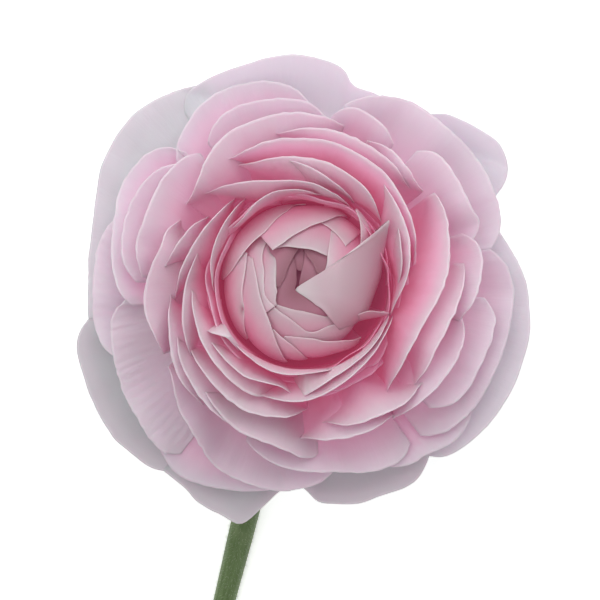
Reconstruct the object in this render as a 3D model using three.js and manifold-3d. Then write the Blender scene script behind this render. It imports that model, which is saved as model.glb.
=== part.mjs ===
// A ranunculus flower, cut and laid down on a surface.
//
// Millimetres, +Z up, the surface at z = 0. The stem lies along -Y. The bloom leans back from
// upright, away from its stem, so it rests on the stem and on its pressed guard petals.
// Every petal is drawn in the bloom's own frame: z along the bloom's axis from its base, and
// azimuths in degrees round that axis.

import * as THREE from "three";
import { mergeVertices } from "three/addons/utils/BufferGeometryUtils.js";
import Module from "manifold-3d";

const wasm = await Module();
wasm.setup();

const DEG = Math.PI / 180;

// Driving dimensions
const BLOOM_HEIGHT = 16.2; // the bloom's base above the surface
const BLOOM_TILT = 25; // degrees between the bloom's axis and upright
const BLOOM_TURN = 14; // degrees that the bloom is turned round its axis
const PETAL_THICKNESS = 0.62;
const GAP = 0.3; // between one piece and the next
const STEM_LENGTH = 190; // from the bloom to the cut
const STEM_SIDES = 10;

const ROOT_RADIUS = 5; // where every petal and sepal is rooted

// The cup: the profile of a petal, for each radius that its rim can have
const CUP = {
  rim: [17, 22, 27, 32, 37, 42, 47],
  rise: [37, 36, 33, 28, 20, 10, 3], // height of the rim over the bloom's base
  lean: [98, 88, 76, 62, 44, 18, 0], // steepness at the rim, degrees from level
  flare: [18, 15, 12, 9, 6, 3, 1], // steepness at the root
  root: [1.5, 1.3, 1.1, 0.9, 0.7, 0.5, 0.4], // height of the root
};
const CUP_PULL = 0.4; // how round the profile is, as a share of its chord
const CUP_TIGHTEST = 17.6; // no rim comes nearer to the heart than this
const CUP_CORNER = 0.12; // how much shorter a petal is at its two ends
const CUP_START = 0.34; // where a petal comes out of the core, as a share of its profile

// The core that the cup's petals grow from: the lower part of the same family of profiles
const CORE_RIMS = [17, 22, 27, 32, 37, 42];
const CORE_TOPS = [0.5, 0.53, 0.52, 0.49, 0.45, 0.4]; // where it ends, as a share of each profile
const CORE_STEPS = 3;
const CORE_FLOOR = 1.5; // the inside of its bowl
const CORE_BOTTOM = 0.5;

// Seats along the bloom's axis: the stem carries the calyx, the calyx the guard petals, these the
// cup, and the cup the heart, each a gap apart
const GUARD_LAYER = 1; // from one layer of guard petals to the next
const GUARD_SEAT = -1.1; // middle of the upper layer, at its root
const GUARD_TOP = CORE_BOTTOM - GAP;
const GUARD_BOTTOM = GUARD_SEAT - GUARD_LAYER - PETAL_THICKNESS / 2;
const SEPAL_SEAT = GUARD_BOTTOM - GAP - PETAL_THICKNESS / 2;
const STEM_TOP = SEPAL_SEAT - PETAL_THICKNESS / 2 - GAP;

// The heart: closed shells, rounded over like a globe
const HEART_ROOT = 3; // radius of its flat bottom
const HEART_SEAT = CORE_FLOOR + GAP; // height of its flat bottom
const HEART_MIDDLE = 21; // height where it is widest
const HEART_ARCH = 0.92; // height of its dome over its radius
const HEART_WIDEST = 16.5; // past this a shell only flares near its tip
const HEART_LIFT = 1.5; // how steeply a flared tip rises
const HEART_START = 46; // degrees up from its flat bottom where a shell comes out of the core
const HEART_FLARE_SPAN = [70, 105]; // degrees up where a flare begins and is full
const HEART_CORE_BOWL = [15.4, 56]; // the core's lower part: its widest radius, and how far up it goes
const HEART_CORE_DOME = 10.6; // radius of the core's upper part

// The cup's petals, inner ones first. Each row holds azimuths and rim radii in turn.
const INNER_PETALS = [
  [203, 22.4, 207, 20.8, 211, 19.4, 215, 18.4, 227, 17.7],
  [215, 18.2, 225, 17.9, 240, 18.1, 255, 18.2, 265, 17.9, 280, 17.6, 297, 18],
  [123, 20.8, 135, 20.2, 150, 19.7, 165, 19, 175, 18.4, 187, 17.6],
  [75, 18.2, 85, 18.6, 95, 19.1, 107, 19.4, 120, 18.9, 128, 18.2, 136, 17.8, 145, 18.4],
  [58, 18.2, 65, 18.8, 75, 19.5, 85, 20.4, 95, 20.9, 105, 21.5, 115, 22.9, 125, 24.8, 137, 27],
  [268, 23.2, 272, 22.4, 277, 21, 282, 20.2, 290, 19.3, 300, 18.8, 320, 18.4, 341, 18.2],
  [358, 18.9, 375, 20.4, 385, 21.4, 396, 23],
  [341, 18.4, 350, 18.8, 360, 20.2, 370, 21.6, 380, 22.8, 395, 24.2, 410, 25.8, 417, 27.2],
  [58, 19.4, 65, 20.3, 75, 21.6, 87, 23.7, 97, 25.2, 103, 26],
  [205, 22.2, 212, 21.7, 227, 21.5, 238, 21.7, 246, 21, 256, 20.7, 262, 21.4, 268, 23],
  [243, 24.2, 252, 23.6, 266, 23.5, 275, 22.8, 285, 21.8, 295, 20.9, 305, 20.1, 320, 19.4, 341, 19],
  [39, 20.2, 45, 21.1, 55, 22.8, 65, 23.8, 80, 25, 95, 25.8, 110, 26.5, 118, 27.6],
];
const MIDDLE_PETALS = [
  [175, 22.2, 195, 22.6, 210, 23.2, 225, 23.7, 243, 24.5, 251, 24.5],
  [128, 22, 140, 22.3, 155, 23, 165, 23.7, 175, 24.8, 186, 25.9],
  [157, 21.8, 170, 22.6, 180, 23.5, 190, 24.4, 200, 25.6, 208, 26.3, 216, 27],
  [144, 23.4, 150, 24.8, 157, 25.8, 165, 26.9, 175, 28.4],
  [205, 26, 215, 26.3, 230, 27, 245, 27.7, 255, 27.2, 265, 26.6, 272, 24.8],
  [307, 27.4, 316, 26, 330, 25.2, 345, 25.6, 355, 27.4, 365, 29.2, 375, 30.6, 385, 32.2, 395, 33.4],
  [370, 22.6, 380, 24.2, 390, 25.4, 405, 26.9, 420, 28.2, 435, 29.1, 450, 29.5, 470, 30, 481, 29.6],
  [184, 26.6, 192, 27.6, 200, 28.6, 210, 30.2, 220, 31.4, 230, 32],
  [198, 25.8, 203, 27.4, 212, 29, 225, 30.3, 238, 31.6, 250, 32.3],
  [278, 27.8, 288, 29.4, 300, 30.6, 310, 31.4, 322, 31.2],
  [402, 29, 412, 30.2, 420, 30.8, 435, 31.5, 450, 31.6, 460, 31.2],
];
const OUTER_PETALS = [
  [317, 30.2, 326, 30, 334, 29.6, 345, 30.5, 355, 31.8, 368, 33.6],
  [152, 28, 158, 29.7, 165, 29.9, 175, 31, 187, 31.9, 200, 32, 206, 32.2],
  [269, 30.8, 278, 31.5, 290, 32.2, 305, 32.4],
  [221, 28.6, 230, 29.6, 240, 31.2, 250, 32.4, 262, 33.4, 269, 34.6, 276, 36.6],
  [398, 30.6, 408, 31.4, 416, 32.2, 426, 32.6],
  [75, 34, 85, 34.6, 100, 35.1, 112, 34.4, 120, 33.4, 128, 31.8, 135, 30, 145, 28.6],
  [304, 33.2, 315, 33.6, 330, 34.3, 345, 34.4, 349, 33.8],
  [347, 33.4, 355, 34.8, 365, 36, 374, 36.7, 378, 36.2],
  [128, 36.6, 137, 36, 148, 35.4, 158, 34.5, 166, 34.3, 177, 34],
  [57, 35.6, 63, 36, 70, 37.2, 80, 38],
  [134, 37.4, 145, 38, 157, 38.2, 168, 37.8, 179, 36.8],
  [82, 36.4, 90, 37.6, 100, 38.2, 112, 38.4, 124, 37.6],
  [211, 32, 217, 33.4, 224, 35.4, 231, 37, 238, 38.8, 246, 40.8, 255, 41.9, 264, 42.2, 280, 41],
  [250, 36, 262, 36.7, 272, 37.8, 282, 38.6, 290, 40, 297, 41.6, 304, 42.6],
  [374, 37.6, 379, 38.4, 385, 37.6, 400, 38.2, 410, 38.6],
  [316, 39.4, 329, 39.2, 343, 39.8, 356, 40.4],
  [131, 39.6, 135, 41.2, 142, 41.8, 152, 41.8, 160, 40.9, 170, 39.4, 178, 38.6, 187, 38],
  [184, 38, 189, 39.8, 197, 40.9, 206, 41.5, 213, 42.6, 220, 43.4, 227, 45, 234, 46.6],
  [158, 42.3, 175, 42.6, 192, 43, 204, 42.6],
  [308, 42.4, 325, 42.8, 345, 42.8, 360, 43, 371, 42.4],
  [371, 42.6, 380, 43.4, 395, 43.6, 410, 43.4, 420, 43.2, 430, 42.1, 437, 41],
];

// The guard petals: the layer that each lies in, then azimuths and rim radii in turn
const GUARD_PETALS = [
  [0, 18, 39, 24, 42.4, 27, 46.2, 30, 48.2, 35, 49.3, 39, 48.6, 45, 47, 50, 45.4, 55, 42.8, 62, 42],
  [0, 63, 41.6, 70, 41.6, 76, 42, 79, 44.4, 83, 45.7, 93, 46.9, 105, 46.4, 113, 46.3, 120, 46.6, 124, 44],
  [1, 119, 46.4, 125, 47.7, 131, 48.7, 137, 49, 149, 47.8, 156, 46.1, 164, 44.6, 180, 43.8, 189, 44.2],
  [0, 189, 44.4, 192, 46.6, 196, 47.9, 204, 48.5, 212, 49.2, 219, 49.5, 225, 48.9, 230, 48.4, 234, 47],
  [1, 233, 47.2, 240, 47.8, 244, 49.1, 250, 49.6, 255, 50.4, 257, 49, 260, 45.4, 264, 42, 270, 40],
  [0, 266, 39, 271, 41.8, 274, 44.2, 278, 45, 285, 45.9, 290, 45.7, 297, 46.2, 302, 45.4, 309, 42],
  [1, 302, 40, 306, 42.8, 309, 45, 313, 46.2, 320, 47, 328, 47.5, 345, 47.4, 353, 46.6, 362, 45.2,
    371, 42.6, 382, 40],
];
const GUARD = { rise: -1.5, lean: -8, flare: 2, pull: 0.4, start: 0.08, core: 10 };

// The heart's petals: azimuth, rim radius and widest radius in turn
const HEART_PETALS = [
  [88, 17, 16.5, 95, 16.6, 16.5, 101, 15.8, 16.5, 108, 15, 16.5, 118, 14, 16.5, 128, 13.4, 16.5,
    150, 13.7, 16.5, 160, 14.2, 16.5, 170, 15.3, 16.5, 176, 16.4, 16.5],
  [57, 16.6, 16.5, 63, 15.8, 16.5, 70, 14.2, 16.4, 76, 13.2, 16.2, 85, 12, 15.9, 95, 11, 15.7,
    105, 10.2, 15.7, 115, 9.6, 15.7, 131, 9.6, 15.7],
  [26, 12.4, 16.2, 33, 13.8, 17, 40, 15.2, 17.8, 48, 17, 18.3, 55, 18.3, 18.6],
  [42, 11.8, 15.7, 50, 12.2, 15.7, 62, 13, 15.6, 75, 13.6, 15.4],
  [150, 13.4, 15.7, 160, 12.5, 15.7, 170, 12.2, 15.7, 180, 12.4, 15.7, 200, 13.3, 15.8,
    210, 14.2, 15.9, 224, 15.7, 15.9],
  [152, 11.8, 14.9, 160, 10.8, 14.9, 170, 9.8, 14.9, 180, 9.3, 14.9, 195, 9.2, 15, 210, 9.4, 15.1,
    220, 9.8, 15.1, 230, 10.6, 15.4, 237, 11.6, 15.6, 244, 13, 15.8, 252, 14.6, 15.9, 258, 16, 16],
  [133, 12.5, 14.2, 137, 12.2, 14.2, 142, 11, 14.2, 150, 9.6, 14.1, 160, 8.6, 14.1, 180, 8.1, 14.1,
    200, 8, 14.1, 217, 7.2, 14.1],
  [49, 7.9, 14.2, 60, 7.5, 14.2, 85, 7.4, 14.2, 95, 7.6, 14.2, 105, 8.2, 14.2, 115, 8.8, 14.2,
    130, 9.8, 14.2],
  [250, 11.2, 14, 262, 10.9, 14.1, 272, 11.1, 14.3, 282, 11.6, 14.7, 290, 12.4, 14.9,
    298, 13.2, 15.2, 305, 14.2, 15.6, 311, 15.4, 16, 318, 16.4, 16.3],
  [236, 11.2, 14.7, 244, 11.6, 14.8, 252, 12, 14.9, 260, 12.8, 15, 266, 13.8, 15, 273, 15.1, 15.1],
  [217, 7.4, 13.2, 240, 7.2, 13.2, 250, 7.4, 13.2, 258, 7.9, 13.2, 266, 8.7, 13.3, 275, 9.7, 13.4,
    297, 10.2, 13.5, 308, 10.7, 13.3, 318, 11.4, 13.1, 325, 12, 13, 332, 13.2, 13.5, 338, 15, 14.6,
    342, 17, 16],
  [309, 4.9, 11.3, 318, 3.4, 11.5, 325, 2.4, 12.2, 330, 1.9, 13.4, 340, 1.3, 14.3, 355, 0.9, 15.1,
    370, 0.8, 15.9, 382, 0.9, 17.3, 388, 1.2, 18.7, 392, 2.2, 19.8, 394, 5, 20.4, 395, 10, 20.8,
    396, 17, 21.1, 397, 21.8, 21.4],
  [25, 4.2, 14.9, 35, 5.4, 14.9, 42, 6.4, 14.9, 48, 7.4, 14.9, 53, 8.6, 14.9, 57, 10, 14.9,
    62, 12.6, 14.9],
  [131, 9.8, 13.2, 135, 8.4, 13.2, 140, 7.2, 13.2, 150, 6.2, 13.2, 165, 5.6, 13.2, 195, 5.4, 13.2,
    205, 6, 13.2, 217, 6.6, 13.2],
  [217, 6.6, 12.4, 235, 5.6, 12.4, 265, 5.2, 12.4, 280, 5.6, 12.4, 290, 6.2, 12.4, 300, 7.2, 12.4,
    305, 8, 12.3, 315, 9.2, 12.2, 325, 11.2, 12.1],
];

const SEPALS = 5;
const SEPAL_LENGTH = 13;
const SEPAL_WIDTH = 8;
const SEPAL_DROOP = 2.2; // how far a sepal's tip hangs below its seat
const SEPAL_FIRST = 22; // azimuth of the first sepal
const SEPAL_INSET = 1.5; // how far its root is sunk into the collar
const SEPAL_FOLD = 0.08; // how strongly its sides bend down, towards the tip
const COLLAR_RADIUS = 5.2;

// The stem: shares of its length, with its radius at each
const STEM_RADII = [[0, 4], [0.03, 3.3], [0.08, 2.8], [0.33, 2.7], [0.46, 2.25], [0.8, 2.2], [1, 2.4]];
const STEM_NECK_SHARE = 0.1; // where the neck ends and the stem lies down
const STEM_BOW = 9; // how far the stem bows sideways
const STEM_STRAIGHT = 0.35; // share of the lying part that is straight
const STEM_STEPS = 32;

// The bloom's frame
const bloom = new THREE.Group();
bloom.position.set(0, 0, BLOOM_HEIGHT);
bloom.rotation.set(-BLOOM_TILT * DEG, 0, BLOOM_TURN * DEG);
bloom.updateMatrixWorld();

// A smooth value through the points (xs, ys), level beyond the ends
function through(xs, ys, x) {
  const last = xs.length - 1;
  if (x <= xs[0]) return ys[0];
  if (x >= xs[last]) return ys[last];
  let i = 0;
  while (x > xs[i + 1]) i += 1;
  const slope = (a, b) => (ys[b] - ys[a]) / (xs[b] - xs[a]);
  const step = xs[i + 1] - xs[i];
  const m0 = slope(Math.max(i - 1, 0), i + 1) * step;
  const m1 = slope(i, Math.min(i + 2, last)) * step;
  const t = (x - xs[i]) / step;
  const rise = t * t * (3 - 2 * t);
  return ys[i] * (1 - rise) + ys[i + 1] * rise + m0 * t * (1 - t) ** 2 - m1 * t * t * (1 - t);
}

function column(row, start, width) {
  return row.filter((_, i) => i % width === start);
}

function around(azimuth, radius, z) {
  return new THREE.Vector3(radius * Math.cos(azimuth * DEG), radius * Math.sin(azimuth * DEG), z);
}

// One profile: a cubic curve from its root to its rim, at a share s of its way
function profile(root, rim, flare, lean, pull, s) {
  const reach = pull * Math.hypot(rim[0] - root[0], rim[1] - root[1]);
  const out = [root[0] + reach * Math.cos(flare * DEG), root[1] + reach * Math.sin(flare * DEG)];
  const back = [rim[0] - reach * Math.cos(lean * DEG), rim[1] - reach * Math.sin(lean * DEG)];
  const w = [(1 - s) ** 3, 3 * s * (1 - s) ** 2, 3 * s * s * (1 - s), s ** 3];
  return [0, 1].map((k) => w[0] * root[k] + w[1] * out[k] + w[2] * back[k] + w[3] * rim[k]);
}

function cupProfile(rim, s) {
  const at = (name) => through(CUP.rim, CUP[name], rim);
  return profile([ROOT_RADIUS, at("root")], [rim, at("rise")], at("flare"), at("lean"), CUP_PULL, s);
}

// A closed blade round a middle surface, split into triangles alike on both faces
function blade(surface, columns, rows, thickness) {
  const points = [];
  const across = (columns + 1) * (rows + 1);
  const small = 1e-3;
  for (const side of [0.5, -0.5]) {
    for (let j = 0; j <= rows; j += 1) {
      for (let i = 0; i <= columns; i += 1) {
        const u = i / columns;
        const v = j / rows;
        const middle = surface(u, v);
        const alongU = surface(Math.min(u + small, 1), v).sub(surface(Math.max(u - small, 0), v));
        const alongV = surface(u, Math.min(v + small, 1)).sub(surface(u, Math.max(v - small, 0)));
        const normal = alongU.cross(alongV).normalize();
        points.push(middle.addScaledVector(normal, side * thickness));
      }
    }
  }
  const triangles = [];
  const quad = (a, b, c, d) => triangles.push(a, b, c, a, c, d);
  const at = (i, j) => j * (columns + 1) + i;
  for (let j = 0; j < rows; j += 1) {
    for (let i = 0; i < columns; i += 1) {
      const [a, b, c, d] = [at(i, j), at(i + 1, j), at(i + 1, j + 1), at(i, j + 1)];
      triangles.push(a, b, c, a, c, d);
      triangles.push(a + across, c + across, b + across, a + across, d + across, c + across);
    }
  }
  for (let i = 0; i < columns; i += 1) {
    quad(at(i, 0), at(i, 0) + across, at(i + 1, 0) + across, at(i + 1, 0));
    quad(at(i + 1, rows), at(i + 1, rows) + across, at(i, rows) + across, at(i, rows));
  }
  for (let j = 0; j < rows; j += 1) {
    quad(at(0, j + 1), at(0, j + 1) + across, at(0, j) + across, at(0, j));
    quad(at(columns, j), at(columns, j) + across, at(columns, j + 1) + across, at(columns, j + 1));
  }
  return shape(points, triangles);
}

function shape(points, triangles) {
  const geometry = new THREE.BufferGeometry();
  geometry.setAttribute("position", new THREE.Float32BufferAttribute(points.flatMap((p) => p.toArray()), 3));
  geometry.setIndex(triangles);
  return geometry;
}

function solid(geometry) {
  const bare = geometry.clone();
  bare.deleteAttribute("normal");
  bare.deleteAttribute("uv");
  const merged = mergeVertices(bare, 1e-4);
  const vertProperties = new Float32Array(merged.attributes.position.array);
  const triVerts = new Uint32Array(merged.index.array);
  return new wasm.Manifold(new wasm.Mesh({ numProp: 3, vertProperties, triVerts }));
}

// One body from a core and the blades that grow from it, with any hollow that this seals filled
function grown(core, blades) {
  let body = solid(core);
  for (const each of blades) body = body.add(solid(each));
  const [whole] = body.decompose().sort((a, b) => b.volume() - a.volume());
  const mesh = whole.getMesh();
  const geometry = new THREE.BufferGeometry();
  geometry.setAttribute("position", new THREE.Float32BufferAttribute(mesh.vertProperties, 3));
  geometry.setIndex(Array.from(mesh.triVerts));
  return geometry;
}

function piece(name, geometry, color, roughness) {
  const material = new THREE.MeshStandardMaterial({ color, roughness, metalness: 0 });
  const mesh = new THREE.Mesh(geometry, material);
  mesh.name = name;
  return mesh;
}

function columnsFor(span, widest) {
  return Math.max(3, Math.min(widest, Math.round(span / 16)));
}

// A petal of the cup, from where it leaves the core to its rim
function cupPetal(row) {
  const azimuths = column(row, 0, 2);
  const rims = column(row, 1, 2);
  const first = azimuths[0];
  const span = azimuths[azimuths.length - 1] - first;
  const surface = (u, v) => {
    const azimuth = first + span * u;
    const rim = Math.max(through(azimuths, rims, azimuth), CUP_TIGHTEST);
    const top = 1 - CUP_CORNER * Math.abs(2 * u - 1) ** 4;
    const [radius, z] = cupProfile(rim, CUP_START + (top - CUP_START) * v);
    return around(azimuth, radius, z);
  };
  return blade(surface, columnsFor(span, 7), 3, PETAL_THICKNESS);
}

function cupCore() {
  const outline = [];
  const add = (radius, z) => outline.push(new THREE.Vector2(radius, z));
  const outermost = CORE_RIMS.length - 1;
  add(0, CORE_BOTTOM);
  for (let k = 0; k <= CORE_STEPS; k += 1) {
    add(...cupProfile(CORE_RIMS[outermost], CORE_TOPS[outermost] * k / CORE_STEPS));
  }
  for (let n = outermost - 1; n > 0; n -= 1) add(...cupProfile(CORE_RIMS[n], CORE_TOPS[n]));
  for (let k = CORE_STEPS; k >= 0; k -= 1) {
    add(...cupProfile(CORE_RIMS[0], CORE_TOPS[0] * k / CORE_STEPS));
  }
  add(0, CORE_FLOOR);
  return turned(outline, 20);
}

// A body of revolution about the bloom's axis
function turned(outline, sides) {
  const lathe = new THREE.LatheGeometry(outline, sides);
  lathe.rotateX(Math.PI / 2);
  return lathe;
}

// Moves a point along the bloom's axis until it is no lower than floor over the surface
function pressed(point, floor) {
  const height = point.clone().applyMatrix4(bloom.matrixWorld).z;
  point.z += Math.max(floor - height, 0) / Math.cos(BLOOM_TILT * DEG);
  return point;
}

function guardPetal([layer, ...row]) {
  const azimuths = column(row, 0, 2);
  const rims = column(row, 1, 2);
  const first = azimuths[0];
  const span = azimuths[azimuths.length - 1] - first;
  const drop = GUARD_LAYER * (1 - layer);
  const floor = PETAL_THICKNESS / 2 + GUARD_LAYER * layer;
  const surface = (u, v) => {
    const azimuth = first + span * u;
    const rim = [through(azimuths, rims, azimuth), GUARD.rise - drop];
    const s = GUARD.start + (1 - GUARD.start) * v;
    const root = [ROOT_RADIUS, GUARD_SEAT - drop];
    const [radius, z] = profile(root, rim, GUARD.flare, GUARD.lean, GUARD.pull, s);
    return pressed(around(azimuth, radius, z), floor);
  };
  return blade(surface, Math.round(span / 7), 6, PETAL_THICKNESS);
}

// A disc about the bloom's axis
function disc(radius, bottom, top, sides) {
  const corners = [[0, bottom], [radius, bottom], [radius, top], [0, top]];
  return turned(corners.map((p) => new THREE.Vector2(...p)), sides);
}

// A petal of the heart: out from its root to its widest, then over the dome to its rim
function heartPetal(row) {
  const azimuths = column(row, 0, 3);
  const rims = column(row, 1, 3);
  const widths = column(row, 2, 3);
  const first = azimuths[0];
  const span = azimuths[azimuths.length - 1] - first;
  const surface = (u, v) => {
    const azimuth = first + span * u;
    const widest = through(azimuths, widths, azimuth);
    const rim = through(azimuths, rims, azimuth);
    const top = Math.PI - Math.asin(Math.min(rim / widest, 1));
    return heartPoint(azimuth, widest, THREE.MathUtils.lerp(HEART_START * DEG, top, v));
  };
  return blade(surface, columnsFor(span, 7), 4, PETAL_THICKNESS);
}

function heartPoint(azimuth, widest, turn) {
  const body = Math.min(widest, HEART_WIDEST);
  const [from, to] = HEART_FLARE_SPAN;
  const flare = (widest - body) * THREE.MathUtils.smoothstep(turn, from * DEG, to * DEG);
  const share = Math.sin(turn);
  if (turn < Math.PI / 2) {
    const z = HEART_MIDDLE - (HEART_MIDDLE - HEART_SEAT) * Math.cos(turn);
    return around(azimuth, HEART_ROOT + (body - HEART_ROOT) * share + flare, z + HEART_LIFT * flare);
  }
  const z = HEART_MIDDLE - HEART_ARCH * body * Math.cos(turn) + HEART_LIFT * flare * share ** 4;
  return around(azimuth, (body + flare) * share, z);
}

function heartCore() {
  const outline = [new THREE.Vector2(0, HEART_SEAT)];
  const add = (widest, turn) => {
    const point = heartPoint(0, widest, turn * DEG);
    outline.push(new THREE.Vector2(Math.max(point.x, 0), point.z));
  };
  const [bowl, brim] = HEART_CORE_BOWL;
  for (let k = 0; k <= 2; k += 1) add(bowl, brim * k / 2);
  for (let k = 0; k <= 5; k += 1) add(HEART_CORE_DOME, brim + (180 - brim) * k / 5);
  outline[outline.length - 1].x = 0;
  return turned(outline, 16);
}

function sepal(azimuth) {
  const surface = (u, v) => {
    const out = ROOT_RADIUS - SEPAL_INSET + SEPAL_LENGTH * v;
    const half = SEPAL_WIDTH / 2 * Math.sqrt(Math.sin(Math.PI * (0.22 + 0.74 * v)));
    const across = half * (2 * u - 1);
    const z = SEPAL_SEAT - SEPAL_DROOP * v * v - SEPAL_FOLD * across * across * v;
    return new THREE.Vector3(out, across, z).applyAxisAngle(new THREE.Vector3(0, 0, 1), azimuth * DEG);
  };
  return blade(surface, 3, 4, PETAL_THICKNESS);
}

// The stem's middle line: an arc down from the bloom, then a slow bow along the surface
function stemPath() {
  const axis = new THREE.Vector3(0, Math.sin(BLOOM_TILT * DEG), Math.cos(BLOOM_TILT * DEG));
  const top = new THREE.Vector3(0, 0, BLOOM_HEIGHT).addScaledVector(axis, STEM_TOP);
  const bend = (90 - BLOOM_TILT) * DEG;
  const lying = (share) => stemRadius(share) * Math.cos(Math.PI / STEM_SIDES);
  const neck = (top.z - lying(STEM_NECK_SHARE)) / (1 - Math.cos(bend)); // its bend radius
  const arc = neck * bend;
  return (share) => {
    const along = share * STEM_LENGTH;
    const swept = Math.min(along / arc, 1) * bend;
    const left = Math.max(along - arc, 0);
    const down = neck * (Math.cos(bend - swept) - Math.cos(bend));
    const back = neck * (Math.sin(bend) - Math.sin(bend - swept));
    const run = left / (STEM_LENGTH - arc);
    const bowed = Math.max(run - STEM_STRAIGHT, 0) / (1 - STEM_STRAIGHT);
    const side = STEM_BOW * bowed ** 2;
    const height = left > 0 ? lying(share) : top.z - down;
    return new THREE.Vector3(side, top.y - back - left, height);
  };
}

function stemRadius(share) {
  return through(STEM_RADII.map((p) => p[0]), STEM_RADII.map((p) => p[1]), share);
}

function stem() {
  const path = stemPath();
  const points = [];
  for (let k = 0; k <= STEM_STEPS; k += 1) {
    const share = (k / STEM_STEPS) ** 1.35;
    const middle = path(share);
    const ahead = path(Math.min(share + 0.002, 1)).sub(path(Math.max(share - 0.002, 0))).normalize();
    const across = new THREE.Vector3(0, 0, 1).cross(ahead).normalize();
    const up = ahead.clone().cross(across);
    for (let n = 0; n < STEM_SIDES; n += 1) {
      const turn = 2 * Math.PI * (n + 0.5) / STEM_SIDES;
      const radius = stemRadius(share);
      points.push(middle.clone()
        .addScaledVector(across, radius * Math.sin(turn))
        .addScaledVector(up, -radius * Math.cos(turn)));
    }
  }
  const triangles = [];
  for (let k = 0; k < STEM_STEPS; k += 1) {
    for (let n = 0; n < STEM_SIDES; n += 1) {
      const a = k * STEM_SIDES + n;
      const b = k * STEM_SIDES + (n + 1) % STEM_SIDES;
      triangles.push(a, b, b + STEM_SIDES, a, b + STEM_SIDES, a + STEM_SIDES);
    }
  }
  const end = STEM_STEPS * STEM_SIDES;
  for (let n = 1; n < STEM_SIDES - 1; n += 1) {
    triangles.push(0, n + 1, n);
    triangles.push(end, end + n, end + n + 1);
  }
  return shape(points, triangles);
}

const cupRows = [...INNER_PETALS, ...MIDDLE_PETALS, ...OUTER_PETALS];
const guardCore = disc(GUARD.core, GUARD_BOTTOM, GUARD_TOP, 16);
const collar = disc(COLLAR_RADIUS, SEPAL_SEAT - PETAL_THICKNESS / 2, SEPAL_SEAT + PETAL_THICKNESS / 2, 15);
const sepals = Array.from({ length: SEPALS }, (_, n) => sepal(SEPAL_FIRST + n * 360 / SEPALS));
bloom.add(
  piece("heart_petals", grown(heartCore(), HEART_PETALS.map(heartPetal)), 0xd3a9b8, 0.6),
  piece("petals", grown(cupCore(), cupRows.map(cupPetal)), 0xc9708e, 0.6),
  piece("guard_petals", grown(guardCore, GUARD_PETALS.map(guardPetal)), 0xd9d0d6, 0.65),
  piece("calyx", grown(collar, sepals), 0x8fa06a, 0.75),
);

const flower = new THREE.Group();
flower.add(bloom, piece("stem", stem(), 0x6f8a58, 0.7));

// The origin: on the surface, under the middle of the flower's box
flower.updateMatrixWorld(true);
const box = new THREE.Box3().setFromObject(flower, true);
flower.position.set(-(box.min.x + box.max.x) / 2, -(box.min.y + box.max.y) / 2, -box.min.z);

export default flower;
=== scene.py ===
"""A cut ranunculus lying on a table: a pink bloom of many thin petals on a hairy green stem.

Sizes are in millimetres and turned into metres where a mesh is made. Every petal is drawn in the
bloom's own frame: z along the bloom's axis from its base, and azimuths in degrees round that axis.
"""

import math

import bpy
import numpy as np
from bpy.props import FloatProperty, FloatVectorProperty, IntProperty, PointerProperty
from mathutils import Matrix, Vector


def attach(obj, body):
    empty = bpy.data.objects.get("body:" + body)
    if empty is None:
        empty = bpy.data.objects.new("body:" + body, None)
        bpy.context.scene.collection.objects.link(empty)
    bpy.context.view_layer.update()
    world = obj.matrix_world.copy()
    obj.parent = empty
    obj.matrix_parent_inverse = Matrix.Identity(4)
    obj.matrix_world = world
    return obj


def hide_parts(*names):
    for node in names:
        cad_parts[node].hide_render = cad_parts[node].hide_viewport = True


bl_info = {
    "name": "Ranunculus",
    "version": (1, 0, 0),
    "blender": (4, 5, 0),
    "location": "View3D > Sidebar > Ranunculus",
    "description": "Builds a cut ranunculus petal by petal, with its calyx, stem and studio stage",
    "category": "Object",
}

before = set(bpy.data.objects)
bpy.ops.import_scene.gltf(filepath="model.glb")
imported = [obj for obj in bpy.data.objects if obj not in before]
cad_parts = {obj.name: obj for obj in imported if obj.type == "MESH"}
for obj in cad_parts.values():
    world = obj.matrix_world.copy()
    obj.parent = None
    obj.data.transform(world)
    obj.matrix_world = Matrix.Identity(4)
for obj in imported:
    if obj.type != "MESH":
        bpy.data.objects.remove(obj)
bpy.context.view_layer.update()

MM = 0.001
DEG = math.pi / 180
UV_PER_MM = 0.1  # petal coordinates count centimetres

# How the bloom stands: the height of its base, its lean away from upright and its turn, in degrees
BLOOM_HEIGHT = 16.2
BLOOM_TILT = 25
BLOOM_TURN = 14
FLOWER_AT = (-0.8975, 72.5954, 0.0)
GAP = 0.3  # between the pieces
SOLID_PETAL = 0.62  # thickness of the petals in the solids, which places the layers under the bloom
ROOT_RADIUS = 5

# The grid of each kind of petal: columns for each millimetre of its rim, and rows
CUP_GRID = (1.0, 18)
WRINKLED_GRID = (2.2, 18)
SMALL_GRID = (0.7, 12)
HEART_GRID = (1.6, 22)
GUARD_GRID = (1.1, 26)
FEWEST_COLUMNS = 16
MOST_COLUMNS = 100
RIM_SAMPLES = 1000

# The first seed of each bunch. A petal's own is its number further on.
HEART_SEED = 100
EYE_SEED = 140
CUP_SEED = 200
GUARD_SEED = 300
SEPAL_SEED = 400
SMALL_SEED = 600
UNDER_SEED = 700

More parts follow.
